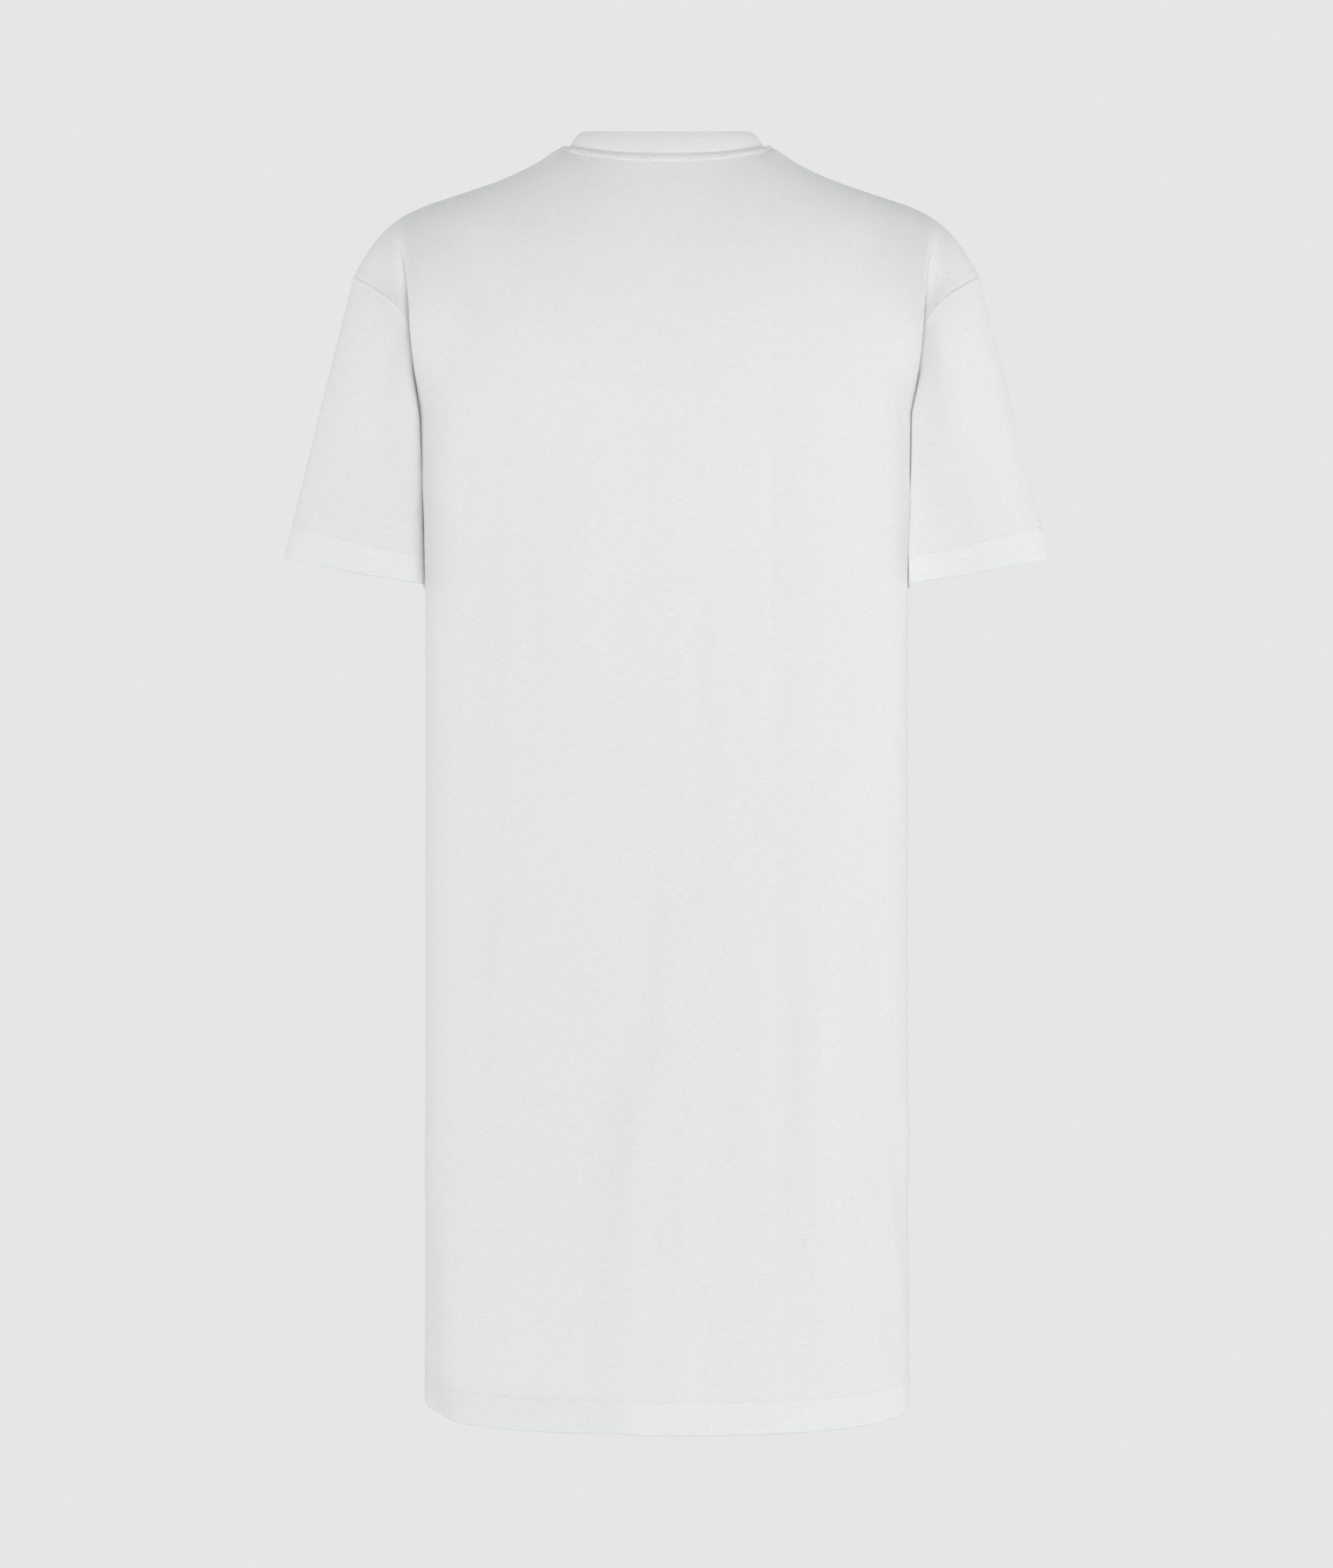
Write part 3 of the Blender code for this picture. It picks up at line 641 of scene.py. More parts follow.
def shell(name, outer, inner, place, doubled_cloth_painted_light, material, closed):
    """A closed wall of cloth between two grids of points in millimetres, as one object.

    place gives each point's place in the flat cloth, in millimetres, and has one more column than the
    grid where it closes. The values after place are painted light added to the tone, mostly where the
    cloth is doubled."""
    rows, cols = outer.shape[:2]
    points = np.concatenate((outer.reshape(-1, 3), inner.reshape(-1, 3)))
    steps = cols if closed else cols - 1
    back_of = rows * cols
    corner_r, corner_c = quad_corners(rows, steps)
    quads = corner_r * cols + corner_c % cols
    faces = [quads, (quads + back_of)[:, ::-1]]
    spots_r = [corner_r, corner_r[:, ::-1]]
    spots_c = [corner_c, corner_c[:, ::-1]]

    def rim(row_a, col_a, row_b, col_b):
        a = row_a * cols + col_a % cols
        b = row_b * cols + col_b % cols
        faces.append(np.stack((a, b, b + back_of, a + back_of), axis=-1))
        spots_r.append(np.stack((row_a, row_b, row_b, row_a), axis=-1))
        spots_c.append(np.stack((col_a, col_b, col_b, col_a), axis=-1))

    line = np.arange(steps)
    for row in (0, rows - 1):
        rim(np.full(steps, row), line, np.full(steps, row), line + 1)
    if not closed:
        line = np.arange(rows - 1)
        for col in (0, cols - 1):
            rim(line, np.full(rows - 1, col), line + 1, np.full(rows - 1, col))
    spots = place[np.concatenate(spots_r).ravel(), np.concatenate(spots_c).ravel()]
    mesh = new_mesh(name, points, np.concatenate(faces).tolist())
    flat = mesh.uv_layers.new(name="cloth")
    flat.data.foreach_set("uv", spots.astype(np.float32).ravel())
    double = mesh.attributes.new("doubled_cloth_painted_light", "FLOAT", "POINT")
    double.data.foreach_set("value", np.tile(doubled_cloth_painted_light.astype(np.float32).ravel(), 2))
    finish_mesh(mesh)
    mesh.materials.append(material)
    return link(name, mesh)


def neck_cutter():
    """A plug through the neck hole whose side is square to the cloth."""
    edge = neck_loop(False, SEAM_GAP / 2.0)
    lean = neck_lean()
    rings = [edge + reach * lean for reach in PLUG_RINGS]
    count = len(edge)
    ends = [(0.0, SHOULDER_Y, PLUG_TOP_Z), (0.0, SHOULDER_Y, PLUG_LOW_Z)]
    points = np.concatenate(rings + [ends])
    above = len(points) - 2
    below = len(points) - 1
    last = (len(rings) - 1) * count
    faces = []
    for i in range(count):
        j = (i + 1) % count
        for base in range(0, last, count):
            faces.append((base + i, base + j, base + count + j, base + count + i))
        faces.append((j, i, above))
        faces.append((last + i, last + j, below))
    mesh = new_mesh("neck_cutter", points, faces)
    finish_mesh(mesh)
    return link("neck_cutter", mesh)


def cut_neck(thing, cutter):
    """Cuts the neck hole and keeps the result as the piece's own mesh."""
    cut = thing.modifiers.new("neck hole", "BOOLEAN")
    cut.operation = "DIFFERENCE"
    cut.object = cutter
    cut.solver = "EXACT"
    graph = bpy.context.evaluated_depsgraph_get()
    mesh = bpy.data.meshes.new_from_object(thing.evaluated_get(graph))
    thing.modifiers.clear()
    old = thing.data
    thing.data = mesh
    bpy.data.meshes.remove(old)
    mesh.name = thing.name
    shade(mesh, SHARP_ANGLE)


def join_normals(first, second):
    """Gives two edges of normals that meet at a seam the same directions."""
    both = unit(first + second)
    first[...] = both
    second[...] = both


def round_loop(back_edge, front_edge):
    """Joins the back and front halves of an armhole into one loop from the shoulder seam."""
    loop = np.concatenate((back_edge, front_edge[-2:0:-1]))
    for i, j in ((0, 0), (len(back_edge) - 1, -1)):
        loop[i] = 0.5 * (back_edge[j] + front_edge[j])
    return loop


def halves(loop):
    """The back and front halves of an armhole loop, each from the shoulder seam down."""
    k = len(loop) // 2
    return {BACK: loop[:k + 1], FRONT: np.concatenate((loop[:1], loop[:k - 1:-1]))}


def armhole_frame(body_normal, sleeve_normal, edge, into_body, into_sleeve):
    """Along an armhole seam: the shared normal, and the direction from the sleeve to the body."""
    k = len(edge) // 2
    down = 1.0 - np.abs(np.arange(len(edge)) - k) / k
    bias = np.zeros_like(edge)
    bias[:, 2] = -UNDERARM_TURN * smooth((down - TURN_REACH) / (1.0 - TURN_REACH))
    normal = unit(unit(body_normal + sleeve_normal) + bias)
    along = np.roll(edge, -1, axis=0) - np.roll(edge, 1, axis=0)
    apart = unit(np.cross(along, normal))
    turn = np.sum(apart * (unit(into_body) - unit(into_sleeve)), axis=-1, keepdims=True)
    return normal, apart * np.sign(turn)


# Places of the fine grids.

edge_places = np.array(NEAR_SEAM) / HALF_ACROSS
inside = np.linspace(0.0, 1.0 - edge_places[-1], round((HALF_ACROSS - NEAR_SEAM[-1]) / COLUMN_STEP))
beyond_fold = (inside < FOLD_PLACES[0] - FOLD_CLEAR) | (inside > FOLD_PLACES[-1] + FOLD_CLEAR)
inside = inside[beyond_fold]
ACROSS = mirrored(np.sort(np.concatenate((inside, FOLD_PLACES, 1.0 - edge_places[-2::-1]))))
edge_rows = np.array(NEAR_SEAM) / UPPER_LENGTH
lower_rows = np.linspace(edge_rows[-1], 1.0, round((UPPER_LENGTH - NEAR_SEAM[-1]) / UPPER_STEP))
UPPER_ROWS = np.concatenate((edge_rows[:-1], lower_rows))
K = len(UPPER_ROWS) - 1
skirt_top = HEM_Z + NEAR_HEM[0]
skirt_count = round((UNDERARM_Z - skirt_top) / ROW_STEP)
SKIRT_Z = np.concatenate((np.linspace(UNDERARM_Z, skirt_top, skirt_count + 1)[1:],
                          HEM_Z + np.array(NEAR_HEM[1:])))
DOWN_ARM = np.concatenate((UPPER_ROWS, np.ones(len(SKIRT_Z))))
neck_points = neck_loop(False)


def neck_distance(points):
    """How far points are from the neck seam."""
    flat = points.reshape(-1, 3)
    near = np.full(len(flat), 1e9)
    for at in neck_points[::10]:
        near = np.minimum(near, np.linalg.norm(flat - at, axis=1))
    return near.reshape(points.shape[:2])


def even_out(grid, weight, rounds):
    """Smooths a grid across its rows, more where the weight is near 1."""
    weight = weight[:, 1:-1, None]
    for _ in range(rounds):
        middle = 0.5 * (grid[:, 2:] + grid[:, :-2])
        grid[:, 1:-1] += 0.5 * weight * (middle - grid[:, 1:-1])


def panel(side):
    """Outer points of a whole panel, before its creases, seams and hem."""
    half = np.abs(ACROSS)
    skirt = np.stack([ring_points(side, z, half) for z in SKIRT_Z])
    grid = np.concatenate((upper_form(side, half, UPPER_ROWS), skirt))
    grid[..., 0] *= np.sign(ACROSS)
    from_side = (1.0 - half) * HALF_ACROSS
    weight = ramp(neck_distance(grid), *EVEN_FROM_NECK) * ramp(from_side, *EVEN_FROM_SIDE)
    weight = weight * (ramp(DOWN_ARM, *EVEN_FROM_TOP)
                       * smooth((1.0 - DOWN_ARM) / EVEN_TO_UNDERARM))[:, None]
    even_out(grid, weight, EVEN_ROUNDS)
    return grid


def panel_shape(side, grid, normal):
    """Pushes the creases, seams and hem of a panel into its form."""
    from_side = np.broadcast_to((1.0 - np.abs(ACROSS)) * HALF_ACROSS, grid.shape[:2])
    from_top = run_down(grid)
    x, z = grid[..., 0], grid[..., 2]
    calm = smooth(from_side / CREASES_FROM_SEAM) * smooth(from_top / CREASES_FROM_TOP)
    calm = calm * ramp(neck_distance(grid), *CREASES_FROM_NECK)
    lift = -crease_depth(CREASES[side], x, z) * calm
    lift += undulation(x, z, 11 + side, 0.22, 58.0) * calm
    lift += undulation(x, z, 31 + side, 0.07, 21.0) * calm
    in_armhole = (np.arange(len(grid)) <= K)[:, None]
    lift += np.where(in_armhole, seam_profile(from_side, 0.2, 0.1),
                     seam_profile(from_side, 0.6, 0.2))
    lift += pucker(z, from_side, 5 + side, 0.10, 6.0)
    on_shoulder = np.abs(x) > NECK_HALF_WIDTH - 3.0
    lift += np.where(on_shoulder, seam_profile(from_top, 0.5, 0.2), 0.0)
    falls = ramp(DOWN_ARM, *FOLD_FROM_TOP) * smooth((1.0 - DOWN_ARM) / FOLD_TO_UNDERARM)
    from_fold = (np.abs(ACROSS) - FOLD_AT) * HALF_ACROSS
    near_top = 1.0 - ramp(DOWN_ARM, *FOLD_NARROWS)
    inner_width = FOLD_HALF_WIDTHS[1] + FOLD_WIDER_AT_TOP * near_top[:, None]
    fold_width = np.where(from_fold > 0.0, FOLD_HALF_WIDTHS[0], inner_width)
    lift -= FOLD_DEPTH * falls[:, None] * hump(from_fold, fold_width)
    lift += FOLD_RIDGE * falls[:, None] * hump(from_fold + RIDGE_AT, RIDGE_HALF_WIDTH)
    to_edge = z - HEM_Z
    beside_seam = 1.0 - 0.75 * hump(from_side, 6.0)
    lift -= STITCH_DIP * hump(to_edge - STITCH_LINE, STITCH_DIP_HALF_WIDTH) * beside_seam
    lift += pucker(x, to_edge - STITCH_LINE, 17 + side, 0.10, 7.0)
    turned_out = smooth((HEM_FLARE_FROM[side] - x) / HEM_FLARE_TURN + 0.5)
    flare = HEM_FLARE[0] + (HEM_FLARE[1] - HEM_FLARE[0]) * turned_out
    flare = flare * smooth(1.0 - to_edge / HEM_FLARE_HEIGHT)
    lift += flare * ramp(from_side, *HEM_FLARE_FROM_SIDE)
    lift -= hem_edge(to_edge, HEM_CLOTH)
    return grid + lift[..., None] * normal


def row_thickness(edge_distance, hem_height):
    """Cloth thickness at distances from a hem's edge: double on the hem, and round at its fold."""
    thick = CLOTH + (HEM_CLOTH - CLOTH) * smooth((hem_height - edge_distance) / 1.2)
    return thick - 2.0 * hem_edge(edge_distance, HEM_CLOTH)


def quarter_curve(square, places):
    """A rounded corner from (1, 0) to (0, 1), read at shares of its length."""
    turn = QUARTER * smooth(np.linspace(0.0, 1.0, 2000))
    along = np.cos(turn).clip(0.0, 1.0) ** (2.0 / square)
    aside = np.sin(turn).clip(0.0, 1.0) ** (2.0 / square)
    length = run_along(np.hypot(np.diff(along), np.diff(aside)))
    reach = np.clip(places, 0.0, 1.0) * length[-1]
    return np.interp(reach, length, along), np.interp(reach, length, aside)


def cuff_loop(turn):
    """Points round the left cuff, from its outer end (turn 0) over the back."""
    outside, inside = CUFF_SQUARENESS
    from_end = np.abs((turn + QUARTER) % math.pi - QUARTER) / QUARTER
    outer_along, outer_aside = quarter_curve(outside, from_end)
    inner_along, inner_aside = quarter_curve(inside, from_end)
    outward = np.cos(turn) > 0.0
    along = np.where(outward, outer_along, -inner_along)[:, None]
    aside = (np.sign(np.sin(turn)) * np.where(outward, outer_aside, inner_aside))[:, None]
    rise = CUFF_FRONT_RISE * np.clip(-aside, 0.0, 1.0) * np.array((0.0, 0.0, 1.0))
    return (np.array(CUFF_CENTRE) + rise + along * np.array(CUFF_ACROSS)
            + aside * np.array((0.0, CUFF_DEPTH, 0.0)))


def body_tree(grids):
    """The two panels' outer faces as one tree for finding where a line meets them."""
    points, faces = [], []
    for grid in grids:
        rows, cols = grid.shape[:2]
        corner_r, corner_c = quad_corners(rows, cols - 1)
        faces += (corner_r * cols + corner_c + len(points)).tolist()
        points += grid.reshape(-1, 3).tolist()
    return BVHTree.FromPolygons(points, faces)


def body_side(tree, grid):
    """How far the body's left side stands out at the depth and height of each point."""
    side = np.full(grid.shape[:2], -1.0)
    for place in np.argwhere(grid[..., 2] < LEAN_FROM_Z):
        _, y, z = grid[tuple(place)]
        hit = tree.ray_cast(Vector((BESIDE_BODY_X, y, z)), Vector((-1.0, 0.0, 0.0)))[0]
        if hit is not None:
            side[tuple(place)] = hit.x
    return side


def sleeve_form(side_sign, tree):
    """Outer points of a sleeve: rows from the armhole to the cuff, columns round the arm."""
    back_half = armhole_rows(BACK, UPPER_ROWS)[:, 2]
    front_half = armhole_rows(FRONT, UPPER_ROWS)[:, 2]
    armhole = np.concatenate((back_half, front_half[-2:0:-1]))
    turn = math.pi * np.concatenate((UPPER_ROWS, 2.0 - UPPER_ROWS[-2:0:-1]))
    under = -np.cos(turn)
    cuff = cuff_loop(turn)
    length = abs(CUFF_CENTRE[2] - armhole[:, 2].mean())
    near_cuff = 1.0 - (np.array(NEAR_HEM) - HEM_HEIGHT + SLEEVE_HEM_HEIGHT).clip(0.0) / length
    near_cuff = np.concatenate((near_cuff[near_cuff < 1.0 - NEAR_CUFF_FROM / length],
                                1.0 - np.array(NEAR_CUFF) / length))
    near_seam = np.array(NEAR_SEAM) / length
    count = round((near_cuff[0] - near_seam[-1]) * length / SLEEVE_STEP)
    rows = np.concatenate((near_seam[:-1], np.linspace(near_seam[-1], near_cuff[0], count),
                           near_cuff[1:]))
    fullness = np.where(np.sin(turn) > 0.0, SLEEVE_FULLNESS[BACK], SLEEVE_FULLNESS[FRONT])
    fullness = fullness * np.abs(np.sin(turn)) ** FULLNESS_POWER
    grid = []
    for t in rows:
        ring = armhole + (cuff - armhole) * t
        swell = fullness * (t / FULLEST_AT) * math.exp(1.0 - t / FULLEST_AT) * (1.0 - t)
        out = np.sign(np.sin(turn)) * swell
        clear = UNDERARM_CLEAR * (1.0 - math.exp(-t / CLEAR_WITHIN)) * np.clip(under, 0.0, 1.0)
        ring = ring + np.stack((SIDEWAYS_SHARE * swell + clear, out, np.zeros(len(turn))), axis=-1)
        grid.append(ring)
    grid = np.stack(grid)
    inwards = ramp(under, *FALL_ROUND) * smooth((FALL_ROUND_END[0] - under) / FALL_ROUND_END[1])
    inwards = inwards * (np.sin(turn) > 0.0)
    grid[..., 1] -= SLEEVE_FALL[side_sign] * inwards * ramp(rows[:, None], *FALL_DOWN)
    towards = ramp(under, *LEAN_ROUND) * smooth(rows[:, None] / LEAN_DOWN)
    towards = towards * smooth((LEAN_FROM_Z - grid[..., 2]) / LEAN_FADE)
    side = body_side(tree, grid)
    apart = np.where(side > 0.0, grid[..., 0] - side - LEAN_GAP, 0.0)
    reach = np.where(grid[..., 1] > CUFF_CENTRE[1], LEAN_REACH[BACK], LEAN_REACH[FRONT])
    grid[..., 0] -= towards * np.clip(apart, 0.0, reach)
    grid[..., 0] *= side_sign
    return grid, rows, turn, length


def sleeve_shape(sign, grid, rows, turn, length, normal):
    """Pushes the creases, seam and hem of a sleeve into its form."""
    angle = np.broadcast_to(turn, grid.shape[:2])
    down = np.broadcast_to(rows[:, None], grid.shape[:2])
    around = angle * SLEEVE_AROUND
    circuit = CIRCLE * SLEEVE_AROUND
    from_seam = run_down(grid)
    to_edge = (1.0 - down) * length
    table = SLEEVE_CREASES[sign].copy()
    table[:, [0, 2]] *= math.pi / 180.0 * SLEEVE_AROUND
    table[:, [1, 3]] *= -length
    calm = smooth(from_seam / CREASES_FROM_SEAM) * (1.0 - 0.8 * hump(angle - math.pi, 0.5))
    lift = -crease_depth(table, around, -down * length) * calm
    lift += undulation(around, down * length, 51 + sign, 0.12, 0.5 * circuit, circuit) * calm
    lift += seam_profile(from_seam, 0.15, 0.1)
    lift += 0.55 * hump(from_seam - 1.7, 1.1)
    lift -= STITCH_DIP * hump(to_edge - SLEEVE_STITCH_LINE, STITCH_DIP_HALF_WIDTH)
    lift += pucker(around, to_edge - SLEEVE_STITCH_LINE, 23 + sign, 0.16, 9.0, circuit)
    lift -= hem_edge(to_edge, HEM_CLOTH)
    return grid + lift[..., None] * normal, to_edge


def band_form():
    """Outer points of the neckband: rows from the seam up to the free edge."""
    low = neck_loop(False, -SEAM_GAP / 2.0)
    high = neck_loop(True)
    lean = neck_lean()
    rows = np.concatenate(((0.0, 0.03, 0.07, 0.12), np.linspace(0.18, 0.93, BAND_ROWS),
                           (0.955, 0.975, 0.988, 0.996, 1.0)))
    grid = [low + (high - low) * t + BAND_BULGE * math.sin(math.pi * t) * lean for t in rows]
    return np.stack(grid), rows


def set_values(node, values):
    for socket, value in values.items():
        node.inputs[socket].default_value = value


def new_material(name, values):
    """A material with its nodes, its links and its shader."""
    material = bpy.data.materials.new(name)
    material.use_nodes = True
    nodes = material.node_tree.nodes
    shader = nodes["Principled BSDF"]
    set_values(shader, values)
    return material, nodes, material.node_tree.links, shader


def add_bump(nodes, links, shader, height, strength, distance):
    bump = nodes.new("ShaderNodeBump")
    set_values(bump, {"Strength": strength, "Distance": distance})
    links.new(height, bump.inputs["Height"])
    links.new(bump.outputs["Normal"], shader.inputs["Normal"])


def jersey():
    """White cotton jersey: loops in columns, short slubs across, a soft matt surface."""
    material, nodes, links, shader = new_material("white_jersey", {
        "Roughness": 0.88, "Specular IOR Level": 0.25, "Sheen Weight": 0.22,
        "Sheen Roughness": 0.45})
    column_width = 0.95
    course_height = 0.72
    flat = nodes.new("ShaderNodeUVMap")
    flat.uv_map = "cloth"
    split = nodes.new("ShaderNodeSeparateXYZ")
    links.new(flat.outputs["UV"], split.inputs[0])
    across = split.outputs[0]
    down = split.outputs[1]

    def math_node(kind, *values):
        node = nodes.new("ShaderNodeMath")
        node.operation = kind
        for socket, value in zip(node.inputs, values):
            if isinstance(value, float):
                socket.default_value = value
            else:
                links.new(value, socket)
        return node.outputs[0]

    def times(first, second):
        return math_node("MULTIPLY", first, second)

    def plus(first, second):
        return math_node("ADD", first, second)

    def noise(scale_across, scale_down, detail, rough=0.5):
        joined = nodes.new("ShaderNodeCombineXYZ")
        links.new(times(across, scale_across), joined.inputs[0])
        links.new(times(down, scale_down), joined.inputs[1])
        node = nodes.new("ShaderNodeTexNoise")
        set_values(node, {"Scale": 1.0, "Detail": detail, "Roughness": rough})
        links.new(joined.outputs[0], node.inputs["Vector"])
        return node.outputs["Fac"]

    wander = times(noise(0.05, 0.05, 2.0), 1.2)
    column = math_node("ABSOLUTE", math_node(
        "SINE", times(plus(across, wander), math.pi / column_width)))
    course = math_node("SINE", times(plus(down, times(column, 0.32)), CIRCLE / course_height))
    loops = times(plus(times(course, 0.35), 0.65), column)
    slubs = noise(0.16, 0.7, 3.0, 0.6)
    grain = noise(0.8, 0.9, 2.0, 0.6)
    cloud = noise(0.012, 0.010, 3.0)
    height = plus(times(loops, 0.35), plus(slubs, times(grain, 0.55)))
    add_bump(nodes, links, shader, height, 0.55, 0.0005)

    # This attribute adds painted light to the tone, mostly on doubled cloth.
    double = nodes.new("ShaderNodeAttribute")
    double.attribute_name = "doubled_cloth_painted_light"
    tone = times(slubs, 0.12)
    # The loops' share paints the gaps between the knitted loops darker, as painted shade; the slubs,
    # grain and cloud vary the tone at random.
    for part, strength in ((cloud, 0.02), (grain, 0.09), (loops, 0.02),
                           (double.outputs["Fac"], 0.018)):
        tone = plus(tone, times(part, strength))
    tone = plus(tone, 0.679)
    mix = nodes.new("ShaderNodeCombineColor")
    for socket, tint in zip(mix.inputs, (0.990, 1.004, 1.006)):
        links.new(times(tone, tint), socket)
    links.new(mix.outputs[0], shader.inputs["Base Color"])
    return material


def thread_material():
    """White sewing thread with a twist."""
    material, nodes, links, shader = new_material("white_thread", {
        "Roughness": 0.6, "Sheen Weight": 0.1})
    where = nodes.new("ShaderNodeTexCoord")
    twist = nodes.new("ShaderNodeTexWave")
    twist.bands_direction = "DIAGONAL"
    set_values(twist, {"Scale": 900.0, "Distortion": 1.0})
    links.new(where.outputs["Object"], twist.inputs["Vector"])
    # The grooves of the twist are painted darker than its ridges: painted shade.
    tone = nodes.new("ShaderNodeMix")
    tone.data_type = "RGBA"
    set_values(tone, {"A": (0.74, 0.75, 0.75, 1.0), "B": (0.84, 0.85, 0.85, 1.0)})
    links.new(twist.outputs["Fac"], tone.inputs["Factor"])
    links.new(tone.outputs["Result"], shader.inputs["Base Color"])
    add_bump(nodes, links, shader, twist.outputs["Fac"], 0.4, 0.0002)
    return material


def stitches(name, line, normal, pitch, long, thick, seed, crosswise=False):
    """A row of stitches along a closed line of points on the cloth, in millimetres, or across it."""
    dice = np.random.default_rng(seed)
    line = np.vstack((line, line[:1]))
    normal = np.vstack((normal, normal[:1]))
    length = run_along(np.linalg.norm(np.diff(line, axis=0), axis=1))
    count = round(length[-1] / pitch)
    uneven = 0.05
    askew = 0.06
    near = 0.8
    at = (np.arange(count) + dice.normal(0.0, uneven, count)) * length[-1] / count % length[-1]

    def read(values, places):
        return np.stack([np.interp(places, length, values[:, i]) for i in range(3)], axis=-1)

    centre = read(line, at)
    up = unit(read(normal, at))
    ahead = read(line, (at + near) % length[-1]) - read(line, (at - near) % length[-1])
    along = unit(ahead - up * np.sum(ahead * up, axis=-1, keepdims=True))
    beside = np.cross(up, along)
    if crosswise:
        along, beside = beside, -along
    along = unit(along + beside * dice.normal(0.0, askew, count)[:, None])
    beside = np.cross(up, along)
    size = 1.0 + dice.normal(0.0, uneven, count)
    sides = 6
    spots = []
    for share_along, share_thick in STITCH_RINGS:
        sink = thick * (0.15 - 1.5 * (2.0 * share_along) ** 4)
        for i in range(sides if share_thick else 1):
            turn = CIRCLE * i / sides
            spots.append((share_along * long, math.cos(turn) * share_thick * thick,
                          math.sin(turn) * share_thick * thick + sink))
    spots = np.array(spots)
    points = (centre[:, None] + along[:, None] * (spots[:, 0] * size[:, None])[..., None]
              + beside[:, None] * spots[None, :, 1, None] + up[:, None] * spots[None, :, 2, None])
    bands = len(STITCH_RINGS) - 3
    last = 1 + bands * sides
    one = []
    for i in range(sides):
        j = (i + 1) % sides
        one.append((0, 1 + j, 1 + i))
        for base in range(1, last, sides):
            one.append((base + i, base + j, base + sides + j))
            one.append((base + i, base + sides + j, base + sides + i))
        one.append((last + i, last + j, last + sides))
    faces = (np.array(one)[None] + (np.arange(count) * len(spots))[:, None, None]).reshape(-1, 3)
    mesh = new_mesh(name, points.reshape(-1, 3), faces.tolist())
    finish_mesh(mesh, THREAD_SHARP_ANGLE)
    mesh.materials.append(thread)
    return link(name, mesh)


# The cloth.

white = jersey()
thread = thread_material()

panels = {side: panel(side) for side in SIDES}
normals = {side: grid_normals(panels[side], side) for side in SIDES}
tree = body_tree(panels.values())
sleeves, sleeve_normals = {}, {}
for sign in (1, -1):
    sleeves[sign], rows, turn, sleeve_length = sleeve_form(sign, tree)
    sleeve_normals[sign] = wall_normals(sleeves[sign], -sign)

seam = np.abs(panels[BACK][0, :, 0]) >= NECK_HALF_WIDTH - 0.1
both = unit(normals[BACK][0, seam] + normals[FRONT][0, seam])
for side in SIDES:
    normals[side][0, seam] = both
for column in (0, -1):
    join_normals(normals[BACK][K:, column], normals[FRONT][K:, column])

shifts = {}
for sign, column, beside in ((1, -1, -2), (-1, 0, 1)):
    edge = sleeves[sign][0]
    body_edge = {side: panels[side][:K + 1, column] for side in panels}
    body_next = {side: panels[side][:K + 1, beside] for side in panels}
    normal, apart = armhole_frame(
        round_loop(normals[BACK][:K + 1, column], normals[FRONT][:K + 1, column]),
        sleeve_normals[sign][0], edge,
        round_loop(*[body_next[side] - body_edge[side] for side in SIDES]),
        sleeves[sign][1] - edge)
    sleeve_normals[sign][0] = normal
    for side in SIDES:
        normals[side][:K + 1, column] = halves(normal)[side]
    shifts[sign] = 0.5 * TIGHT_GAP * apart

pieces = {}
cutter = neck_cutter()
panel_outer = {}
for side, name in ((BACK, "back"), (FRONT, "front")):
    down = run_down(panels[side])
    outer = panel_shape(side, panels[side], normals[side])
    to_edge = panels[side][..., 2] - HEM_Z
    thick = row_thickness(to_edge, STITCH_LINE + HEM_PAST_STITCHES)
    inner = outer - thick[..., None] * normals[side]
    for grid in (outer, inner):
        for sign, column in ((1, -1), (-1, 0)):
            grid[:K + 1, column] += halves(shifts[sign])[side]
            step = unit(grid[K + 1:, column - sign] - grid[K + 1:, column])
            grid[K + 1:, column] += 0.5 * TIGHT_GAP * step
        grid[0] += 0.5 * TIGHT_GAP * unit(grid[1] - grid[0])
    place = np.stack((np.broadcast_to(ACROSS * HALF_ACROSS, down.shape),
                      down - down[-1]), axis=-1)
    # A lighter tone on the doubled hem, as painted light, left out where the hem turns in, which
    # paints that end darker as painted shade.
    doubled_cloth_painted_light = smooth((STITCH_LINE + PAINTED_LIGHT_PAST_STITCHES - to_edge) / PAINTED_LIGHT_FADE)
    turned_in_painted_shade = smooth((panels[side][..., 0] - HEM_FLARE_FROM[side]) / HEM_FLARE_TURN + 0.5)
    doubled_cloth_painted_light = doubled_cloth_painted_light * (HEM_PAINTED_LIGHT[1] + (HEM_PAINTED_LIGHT[0] - HEM_PAINTED_LIGHT[1]) * turned_in_painted_shade)
    panel_outer[side] = outer
    pieces[name] = shell(name + "_panel", outer, inner, place, doubled_cloth_painted_light, white, False)
    cut_neck(pieces[name], cutter)
bpy.data.objects.remove(cutter, do_unlink=True)

